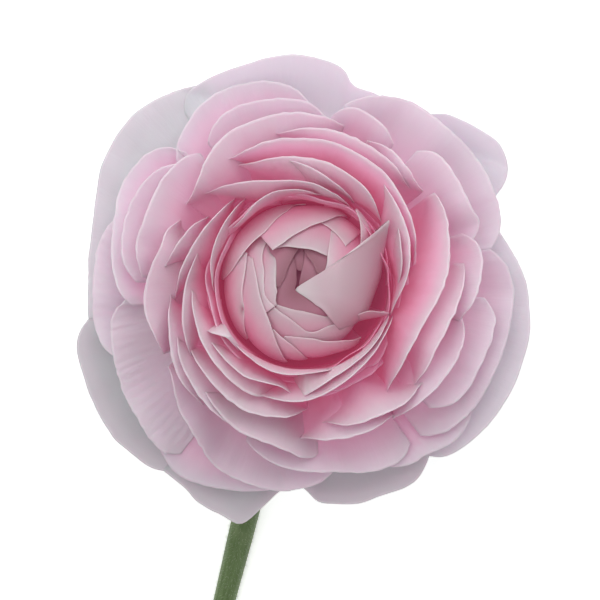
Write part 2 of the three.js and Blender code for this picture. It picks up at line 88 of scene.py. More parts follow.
# The cup: the profile of a petal, for each radius that its rim can have. Lean and flare are the angles
# of its rim and its root, in degrees from level.
CUP_RIM = (17, 22, 27, 32, 37, 42, 47)
CUP_SHAPE = {
    "rise": (37, 36, 33, 28, 20, 10, 3),
    "lean": (98, 88, 76, 62, 44, 18, 0),
    "flare": (18, 15, 12, 9, 6, 3, 1),
    "root": (1.5, 1.3, 1.1, 0.9, 0.7, 0.5, 0.4),
}
CUP_PULL = 0.4
CUP_START = 0.12  # share of the profile where a petal comes out of the core
CUP_LENGTH = 30
CUP_TIGHTEST = 17.6  # the smallest radius of a rim, which keeps it clear of the heart
CUP_WAIST = 16.3  # the radius that the petals hug below their rims
CUP_CORNER = 0.12
OUTER_SPAN = (24, 42)  # rim radii from which a petal starts to be an outer one, and is one
UPRIGHT_SPAN = (30, 40)  # and over which its ends stop standing upright
CORE_RIMS = (17, 22, 27, 32, 37, 42)
CORE_TOPS = (0.5, 0.53, 0.52, 0.49, 0.45, 0.4)
CORE_FLOOR = 1.5
CORE_BOTTOM = 0.5
CORE_DEPTH = 30.0  # how far under a petal's rim the colour of a core is found: the root's deep colour, which is partly painted shade

# The guard petals: a flat profile in two layers
GUARD_LAYER = 1
GUARD_SEAT = -1.1
GUARD_RISE = -1.5
GUARD_LEAN = -8
GUARD_FLARE = 2
GUARD_START = 0.08
GUARD_LENGTH = 40
GUARD_TUCK = 0.25  # how far an upper petal's ends settle on the one below
LIT_SIDE = 50  # azimuth that the guard petals' painted light comes from: they are painted lightest and pinkest there, greyer and darker away from it
GUARD_BOTTOM = GUARD_SEAT - GUARD_LAYER - SOLID_PETAL / 2
SEPAL_SEAT = GUARD_BOTTOM - GAP - SOLID_PETAL / 2
STEM_TOP = SEPAL_SEAT - SOLID_PETAL / 2 - GAP

# The heart: closed shells, rounded over like a globe
HEART_ROOT = 3
HEART_SEAT = CORE_FLOOR + GAP
HEART_MIDDLE = 21
HEART_ARCH = 0.92
HEART_WIDEST = 16.5
HEART_START = 24  # where a petal begins, in degrees up from the globe's foot
HEART_LIFT = 3  # how much higher a flaring petal stands for each millimetre that it stands out
HEART_FLARE_SPAN = (60, 88)
HEART_CORE = 7.6
HEART_OPEN = 20  # a petal that is wider than this stands open, and shows its pale face: it takes less of the deeper colour, which is partly painted shade
OPEN_PALE = 0.1
EYE_DIP = (10.4, 8)  # the layer that all others dip to at the eye, and the radius where a dip begins

# The small petals deep between the cup's walls, set on a spiral like a flower's
SMALL_PETALS = 44
SMALL_FIRST = 18.0  # radius of the innermost
SMALL_STEP = 0.3  # from one to the next
SMALL_TALL = 10  # how many of the innermost stand taller
SPIRAL_ANGLE = 137.5

# The cup's petals, inner ones first. Each row holds azimuths and rim radii in turn.
INNER_PETALS = (
    (203, 22.4, 207, 20.8, 211, 19.4, 215, 18.4, 227, 17.7),
    (215, 18.2, 225, 17.9, 240, 18.1, 255, 18.2, 265, 17.9, 280, 17.6, 297, 18),
    (123, 20.8, 135, 20.2, 150, 19.7, 165, 19, 175, 18.4, 187, 17.6),
    (75, 18.2, 85, 18.6, 95, 19.1, 107, 19.4, 120, 18.9, 128, 18.2, 136, 17.8, 145, 18.4),
    (58, 18.2, 65, 18.8, 75, 19.5, 85, 20.4, 95, 20.9, 105, 21.5, 115, 22.9, 125, 24.8, 137, 27),
    (263, 23.7, 267, 23, 272, 22, 277, 21, 282, 20.2, 290, 19.3, 300, 18.8, 320, 18.4, 341, 18.2),
    (358, 18.9, 375, 20.4, 385, 21.4, 396, 23),
    (341, 18.4, 350, 18.8, 360, 20.2, 370, 21.6, 380, 22.8, 395, 24.2, 410, 25.8, 417, 27.2),
    (58, 19.4, 65, 20.3, 75, 21.6, 87, 23.7, 97, 25.2, 103, 26),
    (205, 22.2, 212, 21.7, 227, 21.5, 238, 21.7, 246, 21, 256, 20.7, 262, 21.4, 268, 23),
    (243, 24.2, 252, 23.6, 266, 23.5, 275, 22.8, 285, 21.8, 295, 20.9, 305, 20.1, 320, 19.4, 341, 19),
    (39, 20.2, 45, 21.1, 55, 22.8, 65, 23.8, 80, 25, 95, 25.8, 110, 26.5, 118, 27.6),
)
MIDDLE_PETALS = (
    (175, 22.2, 195, 22.6, 210, 23.2, 225, 23.7, 243, 24.5, 250, 24.4, 256, 24),
    (128, 22, 140, 22.3, 155, 23, 165, 23.7, 175, 24.8, 186, 25.9),
    (157, 21.8, 170, 22.6, 180, 23.5, 190, 24.4, 200, 25.6, 208, 26.3, 216, 27),
    (144, 23.4, 150, 24.8, 157, 25.8, 165, 26.9, 175, 28.4),
    (205, 26, 215, 26.3, 230, 27, 245, 27.7, 255, 27.2, 265, 26.6, 272, 24.8),
    (307, 27.4, 316, 26, 330, 25.2, 345, 25.6, 355, 27.4, 365, 29.2, 375, 30.6, 385, 32.2, 395, 33.4),
    (370, 22.6, 380, 24.2, 390, 25.4, 405, 26.9, 420, 28.2, 435, 29.1, 450, 29.5, 470, 30, 481, 29.6),
    (184, 26.6, 192, 27.6, 200, 28.6, 210, 30.2, 220, 31.4, 230, 32),
    (198, 25.8, 203, 27.4, 212, 29, 225, 30.3, 238, 31.6, 250, 32.3),
    (278, 27.8, 288, 29.4, 300, 30.6, 310, 31.4, 322, 31.2),
    (402, 29, 412, 30.2, 420, 30.8, 435, 31.5, 450, 31.6, 460, 31.2),
)
OUTER_PETALS = (
    (317, 30.2, 326, 30, 334, 29.6, 345, 30.5, 355, 31.8, 368, 33.6),
    (152, 28, 158, 29.7, 165, 29.9, 175, 31, 187, 31.9, 200, 32, 206, 32.2),
    (269, 30.8, 278, 31.5, 290, 32.2, 305, 32.4),
    (221, 28.6, 230, 29.6, 240, 31.2, 250, 32.4, 262, 33.4, 269, 34.6, 276, 36.6),
    (398, 30.6, 408, 31.4, 416, 32.2, 426, 32.6),
    (75, 34, 85, 34.6, 100, 35.1, 112, 34.4, 120, 33.4, 128, 31.8, 135, 30, 145, 28.6),
    (304, 33.2, 315, 33.6, 330, 34.3, 345, 34.4, 349, 33.8),
    (347, 33.4, 355, 34.8, 365, 36, 374, 36.7, 378, 36.2),
    (128, 36.6, 137, 36, 148, 35.4, 158, 34.5, 166, 34.3, 177, 34),
    (57, 35.6, 63, 36, 70, 37.2, 80, 38),
    (134, 37.4, 145, 38, 157, 38.2, 168, 37.8, 179, 36.8),
    (82, 36.4, 90, 37.6, 100, 38.2, 112, 38.4, 124, 37.6),
    (211, 32, 217, 33.4, 224, 35.4, 231, 37, 238, 38.8, 246, 40.8, 255, 41.9, 264, 42.2, 280, 41),
    (250, 36, 262, 36.7, 272, 37.8, 282, 38.6, 290, 40, 297, 41.6, 304, 42.6),
    (374, 37.6, 379, 38.4, 385, 37.6, 400, 38.2, 410, 38.6),
    (316, 39.4, 329, 39.2, 343, 39.8, 356, 40.4),
    (131, 39.6, 135, 41.2, 142, 41.8, 152, 41.8, 160, 40.9, 170, 39.4, 178, 38.6, 187, 38),
    (184, 38, 189, 39.8, 197, 40.9, 206, 41.5, 213, 42.6, 220, 43.4, 227, 45, 234, 46.6),
    (158, 42.3, 175, 42.6, 192, 43, 204, 42.6),
    (308, 42.4, 325, 42.8, 345, 42.8, 360, 43, 371, 42.4),
    (371, 42.6, 380, 43.4, 395, 43.6, 410, 43.4, 420, 43.2, 430, 42.1, 437, 41),
)
# Petals that show only in the gaps between the outer ones, which lie over them
UNDER_PETALS = (
    (292, 42, 298, 42.3, 303, 42.5, 307, 42.7, 311, 43.6, 316, 44.2, 322, 43.8, 328, 43.3),
    (224, 43.8, 230, 45.4, 236, 46.2, 243, 45.6, 250, 44.2, 258, 43, 268, 42.2),
    (86, 39.6, 94, 41.2, 104, 42.4, 114, 42.6, 122, 41.8, 129, 40.4, 136, 39),
)
UNDER_DROP = 1.2
# The under petals take more of the deeper colour: painted shade under the outer petals that lie over them.
UNDER_PALE = 1.5

# How much of their depth counts for the colour of some cup petals, by their number: under 1 is paler, over 1
# darker.
# The depth colour is partly painted shade, so this sets how much painted shade each of them gets.
PALE_FACES = {
    0: 0.25, 1: 0.6, 4: 0.6, 5: 0.5, 8: 0.6, 15: 0.6, 16: 0.7, 17: 1.8, 18: 3.5, 22: 2, 24: 0.2,
    26: 0.2, 27: 0.6, 28: 0.5, 35: 0.5, 37: 0.6, 39: 1.5, 40: 0.1, 41: 0.2, 43: 0.6,
}
# How many times more some cup petals curl out than the rest, at their start, middle and end
CURLED = {0: (4, 6, 3), 5: (6, 1.5, 1), 12: (1, 1, 4)}
EVENLY_CURLED = (1, 1, 1)
# How many times more the crumpled ones are wrinkled
WRINKLED = {40: 2.4, 41: 1.6}
CREASES = (3.2, 1.9)  # millimetres from wrinkle to wrinkle on a smooth petal and on a crumpled one

# The guard petals: the layer that each lies in, then azimuths and rim radii in turn
GUARD_PETALS = (
    (0, 18, 39, 24, 42.4, 27, 46.2, 30, 48.2, 35, 49.3, 39, 48.6, 45, 47, 50, 45.4, 55, 42.8, 62, 42),
    (1, 63, 41.6, 70, 41.6, 76, 42, 79, 44.4, 83, 45.7, 93, 46.9, 105, 46.4, 113, 46.3, 117, 46.2,
     120.5, 45.7, 122.6, 44.6, 124, 43, 124.8, 41),
    (0, 115, 45.4, 119, 46.4, 125, 47.7, 131, 48.7, 137, 49, 149, 47.8, 156, 46.1, 164, 44.6,
     180, 43.8, 189, 44.2),
    (0, 189, 44.4, 192, 46.6, 196, 47.9, 204, 48.5, 212, 49.2, 219, 49.5, 225, 48.9, 230, 48.4, 234, 47),
    (1, 233, 47.2, 240, 47.8, 244, 49.1, 250, 49.6, 255, 50.4, 257, 49, 260, 45.4, 264, 42, 270, 40),
    (0, 266, 39, 271, 41.8, 274, 44.2, 278, 45, 285, 45.9, 290, 45.7, 297, 46.2, 302, 45.4, 309, 42),
    (1, 302, 40, 306, 42.8, 309, 45, 313, 46.2, 320, 47, 328, 47.5, 345, 47.4, 353, 46.6, 362, 45.2,
     371, 42.6, 382, 40),
)

# The heart's petals: azimuth, rim radius and widest radius in turn
HEART_PETALS = (
    (88, 17, 16.5, 95, 16.6, 16.5, 101, 15.8, 16.5, 108, 15, 16.5, 118, 14, 16.5, 128, 13.4, 16.5,
     150, 13.7, 16.5, 160, 14.2, 16.5, 170, 15.3, 16.5, 176, 16.4, 16.5),
    (57, 16.6, 16.5, 63, 15.8, 16.5, 70, 14.2, 16.4, 76, 13.2, 16.2, 85, 12, 15.9, 95, 11, 15.7,
     105, 10.2, 15.7, 115, 9.6, 15.7, 131, 9.6, 15.7),
    (26, 12.4, 16.2, 33, 13.8, 17, 40, 15.2, 17.8, 48, 17, 18.3, 55, 18.3, 18.6),
    (42, 11.8, 15.7, 50, 12.2, 15.7, 62, 13, 15.6, 75, 13.6, 15.4),
    (150, 13.4, 15.7, 160, 12.5, 15.7, 170, 12.2, 15.7, 180, 12.4, 15.7, 200, 13.3, 15.8,
     210, 14.2, 15.9, 224, 15.7, 15.9),
    (152, 11.8, 14.9, 160, 10.8, 14.9, 170, 9.8, 14.9, 180, 9.3, 14.9, 195, 9.2, 15, 210, 9.4, 15.1,
     220, 9.8, 15.1, 230, 10.6, 15.4, 237, 11.6, 15.6, 244, 13, 15.8, 252, 14.6, 15.9, 258, 16, 16),
    (127, 12.2, 14.1, 133, 11.6, 14.1, 138, 11.1, 14.1, 143, 10.5, 14.1, 150, 9.6, 14.1,
     160, 8.6, 14.1, 180, 8.1, 14.1, 200, 8, 14.1, 217, 7.2, 14.1),
    (49, 7.9, 14.2, 60, 7.5, 14.2, 85, 7.4, 14.2, 95, 7.6, 14.2, 105, 8.2, 14.2, 115, 8.8, 14.2,
     130, 9.8, 14.2),
    (250, 11.2, 14, 262, 10.9, 14.1, 272, 11.1, 14.3, 282, 11.6, 14.7, 290, 12.4, 14.9,
     298, 13.2, 15.2, 305, 14.2, 15.6, 311, 15.4, 16, 318, 16.4, 16.3),
    (236, 11.2, 14.7, 244, 11.6, 14.8, 252, 12, 14.9, 260, 12.8, 15, 266, 13.8, 15, 273, 15.1, 15.1),
    (217, 7.4, 13.2, 240, 7.2, 13.2, 250, 7.4, 13.2, 258, 7.9, 13.2, 266, 8.7, 13.3, 275, 9.7, 13.4,
     297, 10.2, 13.5, 308, 10.7, 13.3, 318, 11.4, 13.1, 325, 12, 13, 332, 13.2, 14.4, 338, 15, 16.6,
     342, 17, 18.2),
    (309, 4.9, 12.6, 318, 3.1, 12.8, 325, 2.2, 13.1, 330, 1.7, 13.4, 340, 1.1, 14.1, 355, 0.8, 15,
     370, 0.7, 15.9, 382, 0.8, 17.3, 388, 1.1, 18.7, 392, 2.0, 19.8, 394, 5, 20.4, 395, 10, 20.8,
     396, 17, 21.1, 397, 21.8, 21.4),
    (25, 4.2, 14.9, 35, 5.4, 14.9, 42, 6.4, 14.9, 48, 7.4, 14.9, 53, 8.6, 14.9, 57, 10, 14.9,
     62, 12.6, 14.9),
    (131, 9.8, 13.2, 135, 8.4, 13.2, 140, 7.2, 13.2, 150, 6.2, 13.2, 165, 5.6, 13.2, 195, 5.4, 13.2,
     205, 6, 13.2, 217, 6.6, 13.2),
    (217, 6.6, 12.4, 235, 5.6, 12.4, 265, 5.2, 12.4, 280, 5.6, 12.4, 290, 6.2, 12.4, 300, 7.2, 12.4,
     305, 8, 12.3, 315, 9.2, 12.2, 325, 11.2, 12.1),
)
HEART_LAST = 11  # the petal whose corner crosses the eye
EYE_SHIFT = (-2.4, -1.1)  # how far that corner is pulled across
# The small petals round the eye, in the same order of numbers
EYE_PETALS = (
    (30, 4.1, 12.6, 38, 3.7, 12.6, 46, 3.7, 12.6, 55, 4.1, 12.6, 65, 4.7, 12.6, 75, 5.3, 12.6,
     82, 6, 12.6, 88, 7.2, 12.6),
    (95, 7.8, 12.5, 100, 7, 12.5, 105, 6.4, 12.5, 112, 5.6, 12.5, 120, 5, 12.5, 135, 4.4, 12.5,
     160, 3.9, 12.5, 185, 4.6, 12.5),
    (105, 7.6, 11.4, 107, 6, 11.4, 110, 4.4, 11.4, 113, 3.4, 11.4, 123, 2.4, 11.4, 144, 1.4, 11.4,
     175, 1.3, 11.4, 205, 1.8, 11.4, 214, 1.95, 11.4, 225, 1.7, 11.4, 260, 1.2, 11.4, 325, 1, 11.4),
    (76, 6, 10.6, 82, 4.4, 10.6, 88, 3.4, 10.6, 96, 2.9, 10.6, 105, 3, 10.6, 112, 3.6, 10.6, 120, 5, 10.6),
    (10, 0.9, 10.9, 40, 0.5, 10.9, 70, 0.4, 10.9, 80, 0.5, 10.9, 84, 1.2, 10.9, 86, 4, 10.9, 87, 7, 10.9),
)
INNER_SHIFT = (-0.9, -0.7)  # how far the last of them is pulled
EYE_SUNK = 3  # how much deeper than the heart they count as for their colour, which gives them more of the eye's painted shade

# The calyx: blades and the collar that they grow from
SEPALS = 5
SEPAL_GRID = (16, 24)
SEPAL_THICKNESS = 0.5
SEPAL_LENGTH = 13
SEPAL_WIDTH = 8
SEPAL_DROOP = 2.2
SEPAL_FIRST = 22
SEPAL_INSET = 1.5
SEPAL_FOLD = 0.08
COLLAR_RADIUS = 5.2

# The stem: shares of its length, with its radius at each
STEM_LENGTH = 190
STEM_SIDES = 10  # of the solid stem, which the bend is worked out from
STEM_FINE_SIDES = 44
STEM_RINGS = 150
STEM_RIDGES = 11
RIDGE_DEPTH = 0.015  # as a share of the radius
STEM_RADII = (0, 4, 0.03, 3.3, 0.08, 2.8, 0.33, 2.7, 0.46, 2.25, 0.8, 2.2, 1, 2.4)
STEM_NECK_SHARE = 0.1
STEM_BOW = 9  # how far its cut end lies to the side
STEM_STRAIGHT = 0.35  # the share of the lying part that is straight
# The hollow at the cut end: shares of the radius, and how far out each ring lies
STEM_END = ((0.72, 0.0), (0.62, -0.4), (0.55, -3.0), (0.3, -5.0))

# The hairs: radii in metres, how far they bend to any side, and how long they are against the length
# that is set
HAIR_SIDES = 3
HAIR_TOP = 0.000006
HAIR_BOTTOM = 0.000028
HAIR_BEND = 0.5
HAIR_SHORTEST = 0.5
HAIR_LONGEST = 1.15

LOWEST = 0.02  # how close to the table a petal or the stem comes

# The photograph's frame, 600 by 600, in the bloom's own frame: where its middle is, how wide it is, at
# what height it is that wide, and how high the camera is
VIEW_CENTRE = (-0.6, -3.0)
VIEW_WIDTH = 120
VIEW_PLANE = 30
VIEW_DISTANCE = 1800
SENSOR = 36

# The studio, in metres and watts. Each lamp has its place as seen from the bloom, its size and power.
FLOOR_HALF = 12.0
LAMPS = (
    ("key", (-0.1, 1.55, 1.2), 1.5, 14.5),
    ("front", (-0.55, 0.65, 1.8), 1.5, 11.2),
)
WORLD_LIGHT = 0.3


def ink(red, green, blue):
    """A linear colour from the 0 to 255 values that a screen shows."""
    shown = (red / 255, green / 255, blue / 255)
    return tuple(c / 12.92 if c <= 0.04045 else ((c + 0.055) / 1.055) ** 2.4 for c in shown)


def turn_matrix():
    """The bloom's turn round its axis, then its lean."""
    return Matrix.Rotation(-BLOOM_TILT * DEG, 3, "X") @ Matrix.Rotation(BLOOM_TURN * DEG, 3, "Z")


TURN = turn_matrix()
TURN_ARRAY = np.array(TURN)
BLOOM_ORIGIN = Vector(FLOWER_AT) + Vector((0, 0, BLOOM_HEIGHT))


def out_of_bloom(points):
    """Moves points from the bloom's frame to the flower's, all in millimetres."""
    return points @ TURN_ARRAY.T + np.array(BLOOM_ORIGIN)


def through(pairs, x):
    """A smooth value at x through pairs of x and y in turn, level beyond the ends."""
    xs, ys = np.reshape(pairs, (-1, 2)).astype(float).T
    x = np.clip(x, xs[0], xs[-1])
    last = len(xs) - 1
    i = np.clip(np.searchsorted(xs, x) - 1, 0, last - 1)
    before = np.maximum(i - 1, 0)
    after = np.minimum(i + 2, last)
    step = xs[i + 1] - xs[i]
    m0 = (ys[i + 1] - ys[before]) / (xs[i + 1] - xs[before]) * step
    m1 = (ys[after] - ys[i]) / (xs[after] - xs[i]) * step
    t = (x - xs[i]) / step
    rise = t * t * (3 - 2 * t)
    return ys[i] * (1 - rise) + ys[i + 1] * rise + m0 * t * (1 - t) ** 2 - m1 * t * t * (1 - t)


def smooth(low, high, x):
    """A smooth step from 0 at low to 1 at high."""
    t = np.clip((x - low) / (high - low), 0, 1)
    return t * t * (3 - 2 * t)


def unit(vectors):
    """The vectors at a length of 1."""
    return vectors / np.maximum(np.linalg.norm(vectors, axis=-1, keepdims=True), 1e-9)


def around(azimuth, radius, z):
    """Points at an azimuth in degrees, a radius and a height, broadcast together."""
    azimuth, radius, z = np.broadcast_arrays(np.asarray(azimuth) * DEG, radius, z)
    return np.stack([radius * np.cos(azimuth), radius * np.sin(azimuth), z], axis=-1)


def profile(root, rim, flare, lean, pull, s):
    """A cubic curve from a root to a rim, each a radius and a height, at a share s of its way."""
    reach = pull * np.hypot(rim[0] - root[0], rim[1] - root[1])
    out = (root[0] + reach * np.cos(flare * DEG), root[1] + reach * np.sin(flare * DEG))
    back = (rim[0] - reach * np.cos(lean * DEG), rim[1] - reach * np.sin(lean * DEG))
    w = ((1 - s) ** 3, 3 * s * (1 - s) ** 2, 3 * s * s * (1 - s), s**3)
    return [w[0] * root[k] + w[1] * out[k] + w[2] * back[k] + w[3] * rim[k] for k in (0, 1)]


def cup_profile(rim, s):
    """The radius and the height at a share s of the way up a cup petal with this rim radius."""
    at = {name: through(np.stack([CUP_RIM, values], 1), rim) for name, values in CUP_SHAPE.items()}
    return profile((ROOT_RADIUS, at["root"]), (rim, at["rise"]), at["flare"], at["lean"], CUP_PULL, s)


def unevenness(seed, along, up, scale, waves=5):
    """A smooth, repeatable unevenness of about -1 to 1 over a petal, from a few crossing waves.

    Each use adds its own number to the petal's seed, so that its waves differ from the others.
    """
    chance = np.random.default_rng(seed)
    total = 0
    for _ in range(waves):
        length = scale * chance.uniform(0.6, 1.7)
        skew = chance.normal(0, 0.35)
        total = total + np.sin(2 * math.pi * ((along + skew * up) / length + chance.uniform()))
    return total / math.sqrt(waves)


def closed_sheet(middle, thickness):
    """Points and quads of a closed sheet round a grid of middle points."""
    rows, columns, _ = middle.shape
    normal = unit(np.cross(np.gradient(middle, axis=1), np.gradient(middle, axis=0)))
    half = np.broadcast_to(thickness, (rows, columns))[..., None] / 2
    points = np.concatenate([(middle + normal * half), (middle - normal * half)]).reshape(-1, 3)
    grid = np.arange(rows * columns).reshape(rows, columns)
    quad = np.stack([grid[:-1, :-1], grid[:-1, 1:], grid[1:, 1:], grid[1:, :-1]], -1).reshape(-1, 4)
    border = np.concatenate([grid[0, :-1], grid[:-1, -1], grid[-1, :0:-1], grid[:0:-1, 0]])
    ahead = np.roll(border, -1)
    back = rows * columns
    edge = np.stack([border, border + back, ahead + back, ahead], -1)
    return points, np.concatenate([quad, quad[:, ::-1] + back, edge])


class Bunch:
    """Petals gathered for one mesh, each with its place on the petal, its reach and its tone."""

    def __init__(self):
        self.points, self.faces, self.places, self.reaches, self.tones = [], [], [], [], []
        self.count = 0

    def add(self, middle, thickness, along, reach, tone, pale=1.0, deep=0.0):
        """One petal. Along is its millimetres round the rim, reach its rim's radius; on a guard petal, reach
        is instead how far it lies from LIT_SIDE, which sets its painted light.

        Where pale is under 1, the rim's colour reaches further down. Deep is how many millimetres
        of that colour the petal goes without.
        """
        points, faces = closed_sheet(middle, thickness)
        steps = np.linalg.norm(np.diff(middle, axis=0), axis=-1)
        below = np.concatenate([np.cumsum(steps[::-1], axis=0)[::-1], np.zeros((1, steps.shape[1]))])
        along = np.broadcast_to(along, below.shape)
        place = np.stack([along, below * pale + deep], -1).reshape(-1, 2)
        self.points.append(points)
        self.faces.append(faces + self.count)
        self.places.append(np.concatenate([place, place]))
        reach = np.broadcast_to(reach, below.shape).reshape(-1)
        self.reaches.append(np.concatenate([reach, reach]))
        self.tones.append(np.full(len(points), tone))
        self.count += len(points)

    def solid(self, outline, sides, reach):
        """A closed body of revolution about the bloom's axis, from an outline that starts and ends on it."""
        ring = 2 * math.pi * np.arange(sides) / sides
        points = [[0, 0, outline[0][1]]]
        for radius, z in outline[1:-1]:
            points += [[radius * math.cos(a), radius * math.sin(a), z] for a in ring]
        points.append([0, 0, outline[-1][1]])
        faces = []
        for level in range(len(outline) - 3):
            low = 1 + level * sides
            for n in range(sides):
                m = (n + 1) % sides
                faces.append((low + n, low + m, low + sides + m, low + sides + n))
        top = 1 + (len(outline) - 3) * sides
        tip = len(points) - 1
        for n in range(sides):
            m = (n + 1) % sides
            faces.append((0, 1 + m, 1 + n, 1 + n))
            faces.append((tip, top + n, top + m, top + m))
        self.points.append(np.array(points, float))
        self.faces.append(np.array(faces) + self.count)
        self.places.append(np.tile([0.0, CORE_DEPTH], (len(points), 1)))
        self.reaches.append(np.full(len(points), float(reach)))
        self.tones.append(np.full(len(points), 0.5))
        self.count += len(points)

    def mesh(self, name, material):
        """One object from all of it, placed in the flower's frame."""
        points = out_of_bloom(np.concatenate(self.points)) * MM
        faces = [list(dict.fromkeys(face)) for face in np.concatenate(self.faces).tolist()]
        return new_piece(name, points, faces, material, {
            "reach": np.concatenate(self.reaches),
            "tone": np.concatenate(self.tones),
        }, np.concatenate(self.places))


def new_piece(name, points, faces, material, values=None, places=None):
    """A smooth mesh object at the origin, with its point values and its petal coordinates."""
    mesh = bpy.data.meshes.new(name)
    mesh.from_pydata([tuple(p) for p in points], [], faces)
    mesh.validate()
    mesh.polygons.foreach_set("use_smooth", [True] * len(mesh.polygons))
    for key, data in (values or {}).items():
        layer = mesh.attributes.new(key, "FLOAT", "POINT")
        layer.data.foreach_set("value", np.asarray(data, np.float32))
    if places is not None:
        corners = np.empty(len(mesh.loops), np.int32)
        mesh.loops.foreach_get("vertex_index", corners)
        layer = mesh.uv_layers.new(name="petal")
        layer.data.foreach_set("uv", (places[corners] * UV_PER_MM).astype(np.float32).ravel())
    mesh.update()
    obj = bpy.data.objects.new(name, mesh)
    bpy.context.scene.collection.objects.link(obj)
    mesh.materials.append(material)
    return obj


def stand_in(obj, node):
    """Makes a piece ride on the flower and stand for a solid."""
    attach(obj, "root")
    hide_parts(node)


class Nodes:
    """A short way to place nodes in a tree and join them."""

    def __init__(self, tree):
        self.tree = tree
        self.tree.nodes.clear()

    def add(self, kind, **settings):
        """A node. Keywords set its properties, and those in inputs its sockets by index or name."""
        node = self.tree.nodes.new(kind)
        inputs = settings.pop("inputs", {})
        for key, value in settings.items():
            setattr(node, key, value)
        for key, value in inputs.items():
            if isinstance(value, bpy.types.NodeSocket):
                self.tree.links.new(value, node.inputs[key])
            else:
                node.inputs[key].default_value = value
        return node


class Finish(Nodes):
    """The nodes of one material."""

    def __init__(self, name):
        self.material = bpy.data.materials.new(name)
        self.material.use_nodes = True
        super().__init__(self.material.node_tree)

    def math(self, operation, *values, clamp=False):
        """A sum, product or the like of values and sockets."""
        node = self.add("ShaderNodeMath", operation=operation, use_clamp=clamp,
                        inputs=dict(enumerate(values)))
        return node.outputs[0]

    def span(self, value, low, high, to_low=0.0, to_high=1.0):
        """A value carried smoothly from one range to another."""
        node = self.add("ShaderNodeMapRange", interpolation_type="SMOOTHSTEP",
                        inputs={0: value, 1: low, 2: high, 3: to_low, 4: to_high})
        return node.outputs[0]

    def mix(self, share, first, second, blend="MIX"):
        """A colour between two, at a share of the way."""
        node = self.add("ShaderNodeMix", data_type="RGBA", blend_type=blend,
                        inputs={0: share, 6: first, 7: second})
        return node.outputs[2]

    def value(self, name):
        """A number that the mesh holds for each point."""
        return self.add("ShaderNodeAttribute", attribute_name=name).outputs["Fac"]

    def vector(self, *parts):
        return self.add("ShaderNodeCombineXYZ", inputs=dict(enumerate(parts))).outputs[0]

    def noise(self, vector, scale, detail, roughness=0.5):
        node = self.add("ShaderNodeTexNoise", inputs={
            "Vector": vector, "Scale": scale, "Detail": detail, "Roughness": roughness,
        })
        return node.outputs[0]

    def on_object(self):
        """Where a point is, in metres."""
        return self.add("ShaderNodeTexCoord").outputs["Object"]

    def on_petal(self):
        """How far along the rim a point is and how far below it, in centimetres."""
        place = self.add("ShaderNodeUVMap", uv_map="petal").outputs[0]
        return self.add("ShaderNodeSeparateXYZ", inputs={0: place}).outputs[:2]

    def finish(self, shader):
        self.add("ShaderNodeOutputMaterial", inputs={0: shader.outputs[0]})
        return self.material


def rgba(colour):
    """A colour with its alpha, as a socket takes it."""
    return (*colour, 1.0)


# How each kind of petal looks. Reaches are the rim radii where the first of its two palettes ends and
# the second begins, and each pair below goes from the one to the other; on the guard petals the reach
# is how far a petal lies from LIT_SIDE instead, so that their two palettes are lit and shaded copies,
# painted light. Fade is how many millimetres under the rim the body's colour begins and the root's;
# this deepening is partly the petal's own colour and partly painted shade in the folds. Tone is how
# much the petals differ in lightness, at random, and on the guard petals as painted shade away from
# LIT_SIDE. Edge is how much of the edge's pale colour shows, partly the petal's pale margin and partly
# a painted highlight. The last colours are those of an emission that paints light into the folds.
HEART_LOOK = {
    "reaches": (8.6, 14.5), "fade": ((4.5, 11.0), (5.2, 14.5)),
    "tone": 0.12, "veins": 9.0, "vein_share": 0.15, "bump": 0.25, "glow": 0.5,
    "edge": (0.0, 0.5), "edge_colour": ink(238, 218, 224),
    "painted_glow": (ink(78, 38, 54), ink(78, 38, 54)),
}
CUP_LOOK = {
    "reaches": (16.0, 41.0), "fade": ((5.5, 16.0), (11.0, 30.0)),
    "tone": 0.08, "veins": 7.0, "vein_share": 0.15, "bump": 0.25, "glow": 0.6,
    "edge": (0.9, 0.12), "edge_colour": ink(234, 212, 223),
    "painted_glow": (ink(96, 40, 60), ink(104, 66, 84)),
}
GUARD_LOOK = {
    "reaches": (0.0, 1.0), "fade": ((12.0, 36.0), (12.0, 36.0)),
    "tone": -0.2, "veins": 5.0, "vein_share": 0.2, "bump": 0.35, "glow": 0.5,
    "edge": (0.3, 0.3), "edge_colour": ink(238, 234, 238),
    "painted_glow": (ink(70, 70, 72), ink(70, 70, 72)),
}
# The eye's palette of rim, body and root, darker and greyer than the heart's: painted shade in the recess at
# the heart's middle. Heart petals that reach less far out take more of it.
EYE_COLOURS = (ink(146, 94, 108), ink(180, 130, 146), ink(134, 64, 82))


